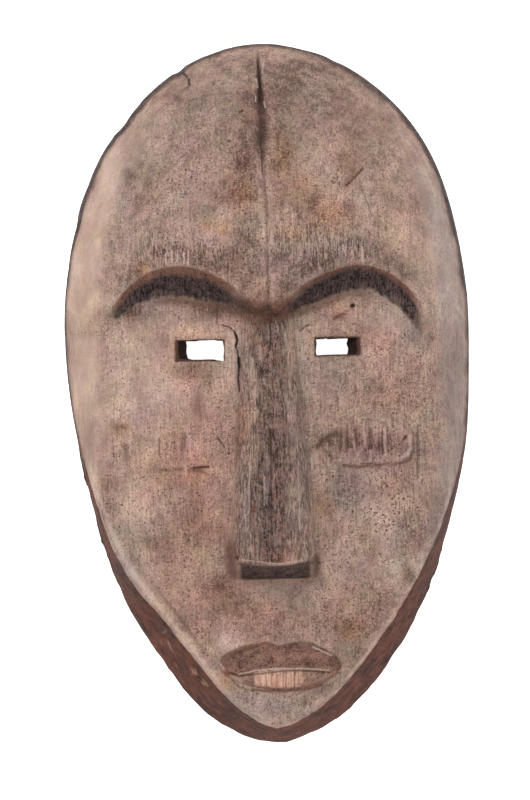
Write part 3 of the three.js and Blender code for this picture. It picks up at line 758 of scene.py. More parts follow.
def mouth_relief(plan):
    """Raised rim of the lips and the roughness inside it."""
    level, reach, lens = mouth_lens(plan.x, plan.y)
    in_mouth = smooth_step(0.0, 0.25, 1 - np.abs(level) / reach) * (lens > 0.02)
    rim = bell(np.abs(level) - reach, 1.2, 2.2) * window(-36, 44, 5, plan.x)
    return 0.7 * rim, 0.4 * in_mouth * noise2(plan.x, plan.y, 3.2, 51, 2)


def widened(strokes, half):
    return [(half, strength, points) for _, strength, points in strokes]


# Strokes that are carved, and how far each kind rises
CARVED_STROKES = [
    (DARK_CUTS, -1.1),
    (RUST_CUTS, -0.5),
    (PALE_RIDGES, 0.7),
    (widened(CRACK_STROKES, 0.9), -0.9),
    (widened(LIP_HIGHLIGHT_STROKES, 0.9), 0.35),
]


def surface_detail(x, y):
    """Carving and wear finer than the solid, as a change of height."""
    plan = Plan(x, y)
    change = 0.55 * noise2(x, y, 30, 11, 2) + 0.22 * noise2(x, y, 7, 21, 3)
    change = change * smooth_step(1.5, 16, plan.inset)
    brow_lip = bell(y, plan.crest + 1.2, 2.4) * window(14, 108, 8, plan.out)
    reliefs = (
        *jaw_relief(plan), groove_relief(plan), 0.55 * brow_lip, nose_relief(plan),
        *mouth_relief(plan),
    )
    for relief in reliefs:
        change = change + relief
    for strokes, rise in CARVED_STROKES:
        change = change + rise * stroke_mask(x, y, strokes)

    pits = np.maximum(noise2(x, y, 2.6, 61, 2) - 0.42, 0) * 3.0
    pits = pits * clamp01(patches(x, y, "pits"))
    change = change - pits * smooth_step(3, 20, plan.inset)
    for slit in EYE_SLITS:
        change = change - 0.7 * (1 - smooth_step(0, 2.6, slit_gap(x, y, slit)))
    return change


def hollow_detail(x, y):
    """Adze facets in the hollow, as a change of height."""
    angle = np.arctan2(y - WIDEST_Y, x)
    inset = rim_radius(angle) - RIM_THICKNESS - np.hypot(x, y - WIDEST_Y)
    lane = x / ADZE_WIDE + 0.35 * noise2(x, y, 60, 71, 1)
    offset = 0.5 * np.sin(np.floor(lane) * 2.4)
    along = y / ADZE_LONG + offset + 0.3 * noise2(x, y, 40, 73, 1)
    scoop = (2 * (lane - np.floor(lane)) - 1) ** 2 + 0.6 * (along - np.floor(along))
    rough = 0.35 * noise2(x, y, 6, 75, 3)
    return (ADZE_DEPTH * (0.6 - scoop) + rough) * smooth_step(2, 16, inset)


def grid_lines(count, weight):
    """Grid lines from -1 to 1, closer together where the weight is greater."""
    samples = np.linspace(-1, 1, GRID_SAMPLES)
    middles = (samples[:-1] + samples[1:]) / 2
    sums = np.concatenate([[0], np.cumsum(weight(middles))])
    lines = np.interp(np.linspace(0, sums[-1], count + 1), sums, samples)
    lines[0], lines[-1] = -1, 1
    return lines


def front_column_weight(a):
    out = np.abs(a)
    detail = 0.95 * (1 - smooth_step(0.70, 0.80, out)) + 0.5 * bell(out, 0.2, 0.05)
    return 1 + detail + 0.16 / np.sqrt(1 - out + 0.0004)


def front_row_weight(b):
    scale = reach_along(b > 0)
    y = WIDEST_Y + b * scale
    density = 0.40
    for low, high, soft, closer in CLOSER_ROWS:
        density = density + closer * window(low, high, soft, y)
    edge = 14 / np.sqrt((1 - np.abs(b)) * scale**2 + 30)
    return scale * (density + edge)


def hollow_weight(a):
    return 1 + 0.25 / np.sqrt(1 - np.abs(a) + 0.002)


def plan_point(a, b, inset, chipped):
    """Plan point of a grid place: square to disc to egg, as in the solid."""
    level = WIDEST_Y + b * reach_along(b > 0)
    flank = nose_station(level)[1] / NOSE_END_HALF
    across = a * mix(flank, 1, smooth_step(FLANK_COLUMNS, 1, np.abs(a)))
    u = across * np.sqrt(1 - b * b / 2)
    v = b * np.sqrt(1 - across * across / 2)
    angle = np.arctan2(v * reach_along(v > 0), u * HALF_WIDTH)
    radius = rim_radius(angle) - inset
    if chipped:
        near_rim = smooth_step(CHIP_FROM_SHARE, 1.0, np.hypot(u, v))
        radius = radius - rim_loss(angle, near_rim)
    reach = np.hypot(u, v) * radius
    x = np.clip(reach * np.cos(angle), -HALF_WIDTH, HALF_WIDTH - 0.1)
    return x, np.maximum(WIDEST_Y + reach * np.sin(angle), LOWEST_Y)


def grid_faces(columns, rows, first, flip):
    """Two triangles in each cell, split along the diagonal that follows the egg."""
    count = len(columns)
    j, i = np.meshgrid(np.arange(len(rows) - 1), np.arange(count - 1), indexing="ij")
    corner = (j * count + i).ravel() + first
    quad = np.stack([corner, corner + 1, corner + count + 1, corner + count], 1)
    turned = (columns[i] + columns[i + 1]) * (rows[j] + rows[j + 1]) > 0
    turned = turned.ravel()[:, None]
    one = np.where(turned, quad[:, [0, 1, 3]], quad[:, [0, 1, 2]])
    two = np.where(turned, quad[:, [1, 2, 3]], quad[:, [0, 2, 3]])
    faces = np.concatenate([one, two])
    return faces[:, ::-1] if flip else faces


def border_loop(columns, rows, first):
    across, up = len(columns), len(rows)
    i, j = np.arange(across - 1), np.arange(up - 1)
    right, left = j * across + across - 1, (j[::-1] + 1) * across
    return first + np.concatenate([i, right, (up - 1) * across + i[::-1] + 1, left])


def zip_loops(outer, inner, points):
    """Triangles between two loops that both run anticlockwise, facing down."""

    def turns(loop):
        raw = np.unwrap(np.arctan2(points[loop, 1] - WIDEST_Y, points[loop, 0]))
        return np.append(raw, raw[0] + math.tau)

    outer_turn, inner_turn = turns(outer), turns(inner)
    inner_turn = inner_turn - math.tau * round((inner_turn[0] - outer_turn[0]) / math.tau)
    o = i = 0
    faces = []
    while o < len(outer) or i < len(inner):
        a, b = outer[o % len(outer)], inner[i % len(inner)]
        if i == len(inner) or (o < len(outer) and outer_turn[o + 1] <= inner_turn[i + 1]):
            o += 1
            faces.append((a, b, outer[o % len(outer)]))
        else:
            i += 1
            faces.append((a, b, inner[i % len(inner)]))
    return np.array(faces)


def into(box, u, v):
    return np.stack([mix(box[0], box[2], u), mix(box[1], box[3], v)], -1)


def relief_grid(columns, rows, inset, chipped, height, box):
    """Points of a relief that comes down to the rim plane at its border, and their map."""
    x, y = plan_point(*np.meshgrid(columns, rows), inset, chipped)
    z = np.zeros(x.shape)
    z[1:-1, 1:-1] = height(x, y)[1:-1, 1:-1]
    u, v = np.meshgrid(np.linspace(0, 1, len(columns)), np.linspace(0, 1, len(rows)))
    return np.stack([x, y, z], -1).reshape(-1, 3), into(box, u, v).reshape(-1, 2)


def front_relief(x, y):
    carved = mouth_depth(x, y) - mouth_carving(x, y)
    height = front_height(x, y) + carved + surface_detail(x, y)
    return np.clip(height, LEAST_HEIGHT, TOP_HEIGHT)


def hollow_relief(x, y):
    return hollow_height(x, y) + hollow_detail(x, y)


def mask_mesh():
    """Points and triangles of the front, the hollow and the rim between, and their map."""
    columns = grid_lines(FRONT_COLUMNS, front_column_weight)
    rows = grid_lines(FRONT_ROWS, front_row_weight)
    front, front_map = relief_grid(columns, rows, 0, True, front_relief, MAP_FRONT)
    back_columns = grid_lines(HOLLOW_COLUMNS, hollow_weight)
    back_rows = grid_lines(HOLLOW_ROWS, hollow_weight)
    hollow, hollow_map = relief_grid(
        back_columns, back_rows, RIM_THICKNESS, False, hollow_relief, MAP_HOLLOW
    )

    points = np.concatenate([front, hollow])
    surface = np.concatenate(
        [
            grid_faces(columns, rows, 0, False),
            grid_faces(back_columns, back_rows, len(front), True),
        ]
    )
    loops = border_loop(columns, rows, 0), border_loop(back_columns, back_rows, len(front))
    rim = zip_loops(*loops, points)
    surface_map = np.concatenate([front_map, hollow_map])[surface]
    rim_map = into(MAP_RIM, *(points[rim, k] / RIM_MAP_SPAN[k] + 0.5 for k in (0, 1)))
    maps = np.concatenate([surface_map, rim_map]).reshape(-1, 2)
    return points, np.concatenate([surface, rim]), maps


def mesh_object(name, points, faces, corner_maps):
    mesh = bpy.data.meshes.new(name)
    mesh.from_pydata((points * 0.001).tolist(), [], faces.tolist())
    layer = mesh.uv_layers.new(name="OFBake")
    layer.data.foreach_set("uv", corner_maps.astype(np.float32).ravel())
    made = bpy.data.objects.new(name, mesh)
    bpy.context.scene.collection.objects.link(made)
    return made


def slit_outline(slit, seed):
    """Hand-cut outline of a slit, anticlockwise from above."""
    inner, outer, top, inner_height, outer_height, _ = slit
    ends = sorted([(inner, inner_height), (outer, outer_height)])
    (low, low_height), (high, high_height) = ends
    corners = np.array([(low, top - low_height), (high, top - high_height), (high, top), (low, top)])

    def toward(start, end):
        return start + EYE_CORNER * (end - start) / np.linalg.norm(end - start)

    outline = []
    for before, here, after in zip(np.roll(corners, 1, 0), corners, np.roll(corners, -1, 0)):
        start, end, beyond = toward(here, before), toward(here, after), toward(after, here)
        for t in (0, 0.5, 1):
            outline.append((1 - t) ** 2 * start + 2 * t * (1 - t) * here + t * t * end)
        steps = int(np.linalg.norm(beyond - end) / EYE_STEP)
        outline.extend(mix(end, beyond, n / steps) for n in range(1, steps))
    outline = np.array(outline)
    wobble = noise2(outline[:, 0], outline[:, 1], 3.6, seed, 2)
    onward = np.roll(outline, -1, 0) - np.roll(outline, 1, 0)
    away = np.column_stack([onward[:, 1], -onward[:, 0]])
    away = away / np.linalg.norm(away, axis=1)[:, None]
    return outline + EYE_WOBBLE * wobble[:, None] * away


def slit_cutter(slit, seed, place):
    """Leaning prism that cuts an eye slit, with its walls laid out on the map."""
    outline = slit_outline(slit, seed)
    count = len(outline)
    rings = []
    for height in (EYE_CUT_FROM, EYE_CUT_TO):
        ring = np.column_stack([outline, np.full(count, height)])
        ring[:, 0] += slit[-1] * (height - EYE_LEVEL)
        rings.append(ring)
    points = np.concatenate(rings)
    k = np.arange(count)
    after = (k + 1) % count
    lower = np.stack([k, after, after + count], 1)
    upper = np.stack([k, after + count, k + count], 1)
    n = np.arange(1, count - 1)
    bottom = np.stack([0 * n, n + 1, n], 1)
    top = np.stack([0 * n + count, count + n, count + n + 1], 1)
    faces = np.concatenate([lower, upper, bottom, top])
    rise = (points[:, 2] - SLIT_MAP_FROM) / SLIT_MAP_SPAN
    maps = into(place, np.tile(k / count, 2), rise)[faces]
    maps[count - 1, 1:, 0] = place[2]
    maps[2 * count - 1, 1, 0] = place[2]
    cutter = mesh_object("slit_cutter", points, faces, maps.reshape(-1, 2))
    for face in cutter.data.polygons:
        face.material_index = 1
    return cutter


def cut_slits(piece):
    left, low, right, high = MAP_SLITS
    middle = (left + right) / 2
    places = [(left, low, middle - MAP_GAP, high), (middle, low, right, high)]
    for n, slit in enumerate(EYE_SLITS):
        cutter = slit_cutter(slit, 101 + n, places[n])
        modifier = piece.modifiers.new("slit", "BOOLEAN")
        modifier.operation = "DIFFERENCE"
        modifier.solver = "MANIFOLD"
        modifier.object = cutter
        graph = bpy.context.evaluated_depsgraph_get()
        cut = bpy.data.meshes.new_from_object(piece.evaluated_get(graph))
        piece.modifiers.clear()
        piece.data = cut
        bpy.data.objects.remove(cutter)


def wall_masks(plan, z):
    """Brown wall of the jaw, and the dark line round the foot of the dome."""
    wall = plan.jaw * (1 - smooth_step(-1.6, 0.5, plan.edge + 0.9 * plan.rag))
    around = plan.angle * plan.radius
    upper_left = window(*UPPER_LEFT, plan.degrees)
    upper_right = window(*UPPER_RIGHT, plan.degrees)
    rise = 18 + 12 * noise2(around, z, 16, 241, 4, 0.6) + 10 * upper_left + 9 * upper_right
    line = (1 - smooth_step(rise - 6, rise + 6, z)) * (plan.inset < 12)
    near = plan.radius - rim_loss(plan.angle, 1.0) - np.hypot(plan.x, plan.y - WIDEST_Y)
    reach = 2.0 + 1.6 * noise2(around, 0 * around, 13, 251, 3)
    reach = reach + 2.4 * upper_left + 2.2 * upper_right
    line = np.maximum(line, 1 - smooth_step(reach - 0.7, reach + 0.7, near))
    return {
        "wall": np.maximum(wall, 0.95 * line),
        "foot": line * (1 - plan.jaw),
        "stain": wall * (0.08 + 0.06 * smooth_step(35, 90, plan.x)),
        "soiled": 1 - smooth_step(reach - 0.4, reach + 3.4, near),
    }


def brow_masks(plan):
    """Black underside of the brows, their red-brown upper edge, and painted shade below them and in the
    vee at the nose root.
    """
    y, out, by_side = plan.y, plan.out, plan.by_side
    tail = 1 - smooth_step(100, 113, out + 2 * plan.rag)
    root = by_side(smooth_step(8, 36, out), smooth_step(4, 28, out))
    low = plan.foot - 0.6 + 2.2 * plan.fine + by_side(3.5, 2.1) * window(6, 38, 10, out)
    bend = 1.2 * window(40, 62, 8, out) - 4.5 * window(76, 104, 9, out)
    low = low + by_side(0, bend)
    ridge = plan.crest - by_side(0, 2.6) * window(36, 92, 14, out)
    high = np.minimum(plan.crest - 5.0 + 1.8 * plan.rag, ridge - 2.2)
    black = smooth_step(low - 3.0, low + 3.8, y) * (1 - smooth_step(high - 3.0, high + 2.4, y))
    hair = smooth_step(high - 4, high + 1, y)
    hair = hair * (1 - smooth_step(ridge - 1.8, ridge + by_side(2.0, 1.2), y))
    # Painted shade under the brows' black band, and in the vee where they meet the nose root
    brow_foot_shade = bell(y, low - 2.2, 4.4) * (1 - smooth_step(64, 104, out))
    vee_shade = np.exp(-(((plan.x - 1.5) / (25 - 0.22 * (y - 56))) ** 4))
    vee_shade = vee_shade * np.exp(-((np.abs(y - 54.0 - 0.3 * out) / 8.6) ** 3))
    vee_shade = np.maximum(vee_shade, 0.5 * bell(plan.x, 0.4, 2.6) * window(58, 72, 3, y))
    root_shade = 0.55 * bell(plan.x, -9, 7) * bell(y, 40, 12)
    return {
        "black": black * tail * (0.12 + 0.88 * root),
        "red": hair * (1 - smooth_step(98, 112, out)) * smooth_step(10, 34, out),
        "brow_foot_shade": brow_foot_shade * smooth_step(6, 24, out) * by_side(0.75, 0.6),
        "vee_shade": vee_shade + root_shade,
    }


def nose_masks(plan):
    """Dark worn front of the nose, its cut end, its flanks with the painted shade on them, and painted
    shadow beside and under the end.
    """
    x, y, rag = plan.x, plan.y, plan.rag
    dark_left = np.interp(y, NOSE_DARK_Y, NOSE_DARK_LEFT)
    dark_right = np.interp(y, NOSE_DARK_Y, NOSE_DARK_RIGHT)
    on_nose = window(NOSE_END_Y + 0.5, NOSE_TOP_Y, 5, y)
    across = (x - dark_left) / (dark_right - dark_left)
    streak = noise2(x, y / 12, 2.4, 221, 3, 0.6)
    worn = window(0, 1, 0.36, across + 0.3 * rag) * on_nose
    spine = bell(x + 0.8 * plan.fine, 1.0 + 0.023 * y, 3.4) * window(-112, -10, 12, y)
    worn = worn * (0.88 + 0.34 * streak + 0.2 * rag) + 0.5 * spine
    out = np.minimum(plan.across_nose, 1)
    end = window(NOSE_FOOT_Y + 0.2, nose_lip(out) - 0.6, 1.4, y)
    flank = on_nose * (1 - 0.6 * clamp01(worn)) * (1 - smooth_step(0.86, 1.1, out))
    # Painted shadow beside the nose end on the left and right, and under its foot
    left_end_shadow = bell(x, -28.0, 6.0) * window(-130, -100, 8, y)
    right_end_shadow = bell(x, 30.5, 4.0) * window(-129, -112, 4, y)
    under = 0.35 * bell(y, -131, 4) * window(-24, 30, 6, x)
    return {
        "worn": worn,
        "end": end * window(-22.0, 26.6, 3.0, x),
        "flank": flank,
        "end_shadow": np.maximum(0.75 * np.maximum(left_end_shadow, right_end_shadow), under),
        "shade": -0.6 * flank * (1 + 0.4 * window(-112, -60, 14, y)),
    }


def mouth_masks(plan):
    """Lips, teeth, the gum beside them and the rim of the mouth."""
    level, reach, lens = mouth_lens(plan.x, plan.y)
    lip = lip_edge(plan.x)
    inside = smooth_step(-0.03, 0.10, 1 - np.abs(level) / reach) * (lens > 0.03)
    over_lip = smooth_step(lip - 0.6, lip + 0.4, level)
    lower = inside * (1 - over_lip)
    teeth = lower * window(-14, 19.5, 1.6, plan.x + 1.2 * plan.fine)
    return {
        # The dark upper lip is stain, with painted shade on its bevel that faces down
        "lip": inside * over_lip,
        "gum": lower * (1 - teeth),
        "teeth": teeth,
        "mouth_rim": bell(np.abs(level) - reach, 0.2, 1.3) * window(-38, 46, 3, plan.x),
    }


def jaw_edge_highlight(plan):
    """Painted highlight along the jaw ridge at the face's edge, and the painted shadow line inside it.
    """
    # Painted highlight along the raised edge of the jaw, stronger on the left
    edge_highlight = bell(plan.edge, plan.by_side(4.2, 1.6), plan.by_side(3.0, 2.2))
    edge_highlight = edge_highlight * window(5, 50, 9, plan.turn) * plan.by_side(0.65, 0.45)
    line = bell(plan.edge, 12.0, 2.6) * window(11, 26, 5, plan.turn)
    return edge_highlight * (1 + 0.6 * plan.rag), line * plan.by_side(0.3, 0.05)


# Dark rim round each slit, partly wear and partly painted shade of its edges
def slit_edges(plan):
    edge = np.zeros(plan.x.shape)
    for slit in EYE_SLITS:
        gap = slit_gap(plan.x, plan.y, slit)
        edge = np.maximum(edge, 1 - smooth_step(0.0, 1.7 + 0.9 * plan.fine, gap))
    return edge


def groove_darkness(plan):
    y, across = plan.y, plan.across
    half = np.interp(y, GROOVE_Y, GROOVE_HALF)
    strength = np.interp(y, GROOVE_DARK_Y, GROOVE_DARK)
    strength = np.where((y < GROOVE_BOTTOM_Y) | (y > GROOVE_TOP_Y), 0, strength)
    core = bell(across, 0, 0.75 * half + 0.3)
    # Darker band down the groove's left side
    left_band = 0.7 * bell(across + 0.9, 0, 1.5 * half) * window(160, 204, 8, y)
    return strength * np.maximum(core, left_band) * plan.above


def left_side(plan, top, top_soft, bottom, bottom_soft, depth):
    """Stretch of the left side, from degrees at the top to degrees at the bottom."""
    upper = window(top, 181, top_soft, plan.degrees)
    lower = window(-181, bottom, bottom_soft, plan.degrees)
    return (upper + lower) * (1 - smooth_step(*depth, plan.inset))


def right_side(plan, soft):
    return window(-50, 50, soft, plan.degrees) * (1 - smooth_step(20, 32, plan.inset))


def plainness(plan):
    """One where the clay is smooth and even, as along the sides."""
    sides = left_side(plan, 120, 12, -142, 8, (22, 34)) + 0.7 * right_side(plan, 10)
    return clamp01(sides + patches(plan.x, plan.y, "plain"))


def tone(plan):
    """How much paler or darker the clay is than its mean."""
    y = plan.y
    scraped = bell(y, plan.crest + 6.5, 10) * window(12, 100, 10, plan.out)
    face = window(-150, 60, 20, y) * (1 - smooth_step(95, 130, plan.out))
    sides = 0.5 * left_side(plan, 124, 10, -150, 8, (20, 32)) + 0.25 * right_side(plan, 12)
    level = sides - 0.45 * scraped + 0.42 * face - 0.12 * smooth_step(150, 215, y)
    return level + patches(plan.x, y, "tone")


def surface_masks(x, y, z):
    """What the finish needs to know at each vertex."""
    plan = Plan(x, y)
    # Broad and fine unevenness that the edges of stains follow
    plan.rag = noise2(x, y, 9, 201, 3)
    plan.fine = noise2(x, y, 3, 211, 3)
    nearer_front = z > 0.6 * front_height(x, y) + 0.4 * hollow_height(x, y)
    front = nearer_front | (plan.inset < RIM_THICKNESS * 0.6)

    wall, brow, nose, mouth = (
        wall_masks(plan, z), brow_masks(plan), nose_masks(plan), mouth_masks(plan),
    )
    edge_highlight, inner_shadow_line = jaw_edge_highlight(plan)
    spots = {name: patches(x, y, name) for name in ("pink", "cool", "ochre")}
    # Brown: painted shade below the brows and in the vee, painted shadow round the nose end, and brown
    # stains in patches
    brown = np.maximum(np.maximum(brow["brow_foot_shade"], brow["vee_shade"]), nose["end_shadow"])
    # Dark cut lines, and the painted shadow line inside the jaw's edge
    cut = np.maximum(stroke_mask(x, y, DARK_CUTS), inner_shadow_line)
    red = np.maximum(brow["red"], stroke_mask(x, y, RUST_CUTS))
    cool_edge = window(-60, 45, 12, plan.degrees) * window(2, 24, 5, plan.inset)
    scratch = 0.9 * nose["flank"] + 0.35 * nose["worn"] + patches(x, y, "scratch")
    masks = {
        "wall": wall["wall"],
        "black": np.maximum(np.maximum(brow["black"], 0.85 * wall["foot"]), wall["stain"]),
        "red": np.maximum(red, 0.7 * mouth["mouth_rim"]),
        "brown": brown + clamp01(patches(x, y, "brown")),
        "worn": nose["worn"],
        "end": nose["end"],
        "lip": mouth["lip"],
        "gum": mouth["gum"],
        "teeth": mouth["teeth"],
        # Pale raised ridges, and the painted highlight along the jaw's edge
        "pale": np.maximum(stroke_mask(x, y, PALE_RIDGES), edge_highlight),
        # Cut lines, with the dark rims of the slits, partly painted shade
        "cut": np.maximum(cut, 0.75 * slit_edges(plan)),
        "groove": groove_darkness(plan),
        "tone": tone(plan) + nose["shade"] - 0.9 * wall["soiled"],
        "pink": spots["pink"],
        "cool": spots["cool"] + cool_edge,
        "ochre": spots["ochre"],
        "pits": clamp01(patches(x, y, "pits")),
        "scratch": clamp01(scratch),
        "plain": plainness(plan),
        # Height of the fine carving, laid on the clay as painted shade where cut in and painted
        # highlight where raised
        "cavity": np.clip(surface_detail(x, y), -2, 2),
    }
    masks = {name: np.where(front, values, 0) for name, values in masks.items()}

    # The hollow is bare wood, stained in patches, with painted highlight where its adze facets stand
    # high and painted shade where they dip
    facet_shading = np.where(front, 0, hollow_detail(x, y))
    masks["front"] = front.astype(float)
    masks["wall"] = np.where(front, masks["wall"], 0.4 + 0.35 * plan.rag)
    masks["tone"] = masks["tone"] + 0.5 * facet_shading
    masks["scratch"] = np.where(front, masks["scratch"], 0.4)
    return masks


def add_masks(piece):
    """Stores the masks on the mesh and marks the faces that the slits were cut with."""
    mesh = piece.data
    place = np.zeros(len(mesh.vertices) * 3, np.float32)
    mesh.vertices.foreach_get("co", place)
    x, y, z = place.reshape(-1, 3).astype(float).T * 1000
    for name, values in surface_masks(x, y, z).items():
        layer = mesh.attributes.new(name, "FLOAT", "POINT")
        layer.data.foreach_set("value", np.asarray(values, np.float32))
    index = np.zeros(len(mesh.polygons), np.int32)
    mesh.polygons.foreach_get("material_index", index)
    layer = mesh.attributes.new("slit", "FLOAT", "FACE")
    layer.data.foreach_set("value", (index == 1).astype(np.float32))
    mesh.polygons.foreach_set("material_index", np.zeros(len(index), np.int32))
    mesh.polygons.foreach_set("use_smooth", np.ones(len(index), bool))
    mesh.set_sharp_from_angle(angle=SHARP_ANGLE)
    mesh.update()


# Colour of the clay, from where it is worn away to where it lies thick
CLAY_COLOURS = [
    (0.0, (60, 42, 36)), (0.22, (100, 77, 67)), (0.50, (158, 133, 120)), (0.75, (194, 169, 153)),
    (1.0, (220, 198, 182)),
]

# Stains over the clay, in turn: mask, raggedness, from, to, strength, dark and light, pattern. Brown,
# lip and cut also carry painted shade, and pale a painted highlight
STAINS = [
    ("worn", 1.2, 0.1, 0.75, 0.95, (46, 32, 29), (140, 114, 106), "planed"),
    ("brown", 1.0, 0.15, 0.9, 0.9, (58, 38, 31), (120, 86, 72), "lively"),
    ("lip", 0.7, 0.2, 0.8, 0.95, (62, 38, 31), (158, 120, 106), "lively"),
    ("gum", 0.8, 0.2, 0.8, 0.75, (90, 62, 52), (190, 154, 138), "lively"),
    ("teeth", 0.7, 0.25, 0.75, 1, (156, 118, 102), (220, 188, 170), "streaked"),
    ("red", 1.5, 0.1, 0.8, 0.9, (58, 38, 30), (126, 88, 72), "lively"),
    ("wall", 0.5, 0.35, 0.65, 1, (32, 15, 11), (107, 59, 43), "stained"),
    ("pale", 0.8, 0.1, 0.8, 0.65, (196, 173, 158), (196, 173, 158), "even"),
    ("black", 1.1, 0.1, 0.9, 1, (26, 19, 19), (106, 87, 82), "planed"),
    ("end", 0.6, 0.1, 0.9, 1, (38, 30, 31), (108, 86, 78), "planed"),
    ("cut", 0.6, 0.06, 0.66, 0.92, (62, 43, 36), (62, 43, 36), "even"),
]
GROOVE_COLOUR = (58, 43, 43)
FLECK_COLOUR = (192, 168, 154)
SPECK_COLOUR = (76, 52, 43)
# Slit walls are dark bare wood, darkened further as painted shade inside the holes
SLIT_COLOURS = (22, 13, 11), (58, 38, 31)

# Fine strokes and their colours
FINE_LINES = [(FINE_PALE, (190, 167, 154)), (FINE_DARK, (50, 36, 31))]

PINK = (1.0, 0.82, 0.80, 1)
PURPLE_GREY = (0.83, 0.89, 0.98, 1)
OCHRE = (1.0, 0.80, 0.60, 1)


def linear(red, green, blue):
    """Colour for a shader socket from values out of 255 as seen on a screen."""
    out = []
    for value in (red / 255, green / 255, blue / 255):
        out.append(value / 12.92 if value <= 0.04045 else ((value + 0.055) / 1.055) ** 2.4)
    return (*out, 1.0)


class Nodes:
    """A new material, and short names for making its nodes."""

    def __init__(self, name):
        self.material = bpy.data.materials.new(name)
        self.material.use_nodes = True
        self.tree = self.material.node_tree
        self.tree.nodes.clear()

    def link(self, source, target):
        if hasattr(source, "links"):
            self.tree.links.new(source, target)
        else:
            target.default_value = source

    def new(self, kind, *values, **settings):
        """A node with its settings, and its first inputs fed in their order."""
        node = self.tree.nodes.new("ShaderNode" + kind)
        for name, value in settings.items():
            setattr(node, name, value)
        for value, target in zip(values, node.inputs):
            self.link(value, target)
        return node

    def fed(self, kind, inputs):
        """A node with some of its inputs fed by name."""
        node = self.new(kind)
        for name, value in inputs.items():
            self.link(value, node.inputs[name])
        return node

    def math(self, operation, *values):
        return self.new("Math", *values, operation=operation).outputs[0]

    def times(self, a, b):
        return self.math("MULTIPLY", a, b)

    def plus(self, value, factor, base):
        return self.math("MULTIPLY_ADD", value, factor, base)

    def sum(self, *terms):
        """Sum of values, each with its own factor."""
        total = 0.0
        for value, factor in terms:
            total = self.plus(value, factor, total)
        return total

    def clamped(self, value):
        return self.math("MINIMUM", self.math("MAXIMUM", value, 0.0), 1.0)

    def step(self, value, low, high):
        settings = {"interpolation_type": "SMOOTHSTEP", "clamp": False}
        return self.new("MapRange", value, low, high, **settings).outputs[0]

    def vector(self, operation, *values):
        node = self.new("VectorMath", *values, operation=operation)
        return node.outputs["Value" if operation in ("DOT_PRODUCT", "DISTANCE") else "Vector"]

    def mix(self, share, a, b, blend="MIX"):
        node = self.new("Mix", share, data_type="RGBA", blend_type=blend)
        self.link(a, node.inputs[6])
        self.link(b, node.inputs[7])
        return node.outputs[2]

    def attribute(self, name):
        return self.new("Attribute", attribute_name=name).outputs["Fac"]

    def texture(self, vector, sizes, shift, **inputs):
        """Noise with spots about so many millimetres across."""
        scale = tuple(1 / size for size in sizes)
        moved = self.vector("MULTIPLY_ADD", vector, scale, (shift, 0.37 * shift, 0.71 * shift))
        return self.fed("TexNoise", {"Vector": moved, "Scale": 1.0, **inputs})

    def strokes(self, place, strokes):
        """Strongest of several fine strokes at a place: one on a line, nought beyond it."""
        best = 0.0
        for half, strength, (ax, ay), (bx, by) in segments(strokes):
            dx, dy = bx - ax, by - ay
            away = self.vector("SUBTRACT", place, (ax, ay, 0))
            dot = self.vector("DOT_PRODUCT", away, (dx, dy, 0))
            along = self.clamped(self.times(dot, 1 / (dx * dx + dy * dy)))
            reach = self.new("VectorMath", (dx, dy, 0), operation="SCALE")
            self.link(along, reach.inputs["Scale"])
            gap = self.vector("DISTANCE", away, reach.outputs[0])
            near = self.step(gap, 1.5 * half, 0.5 * half)
            best = self.math("MAXIMUM", best, self.times(near, strength))
        return best

    def surfaced(self, shader):
        """The material, with a shader on its surface."""
        self.fed("OutputMaterial", {"Surface": shader.outputs[0]})
        return self.material


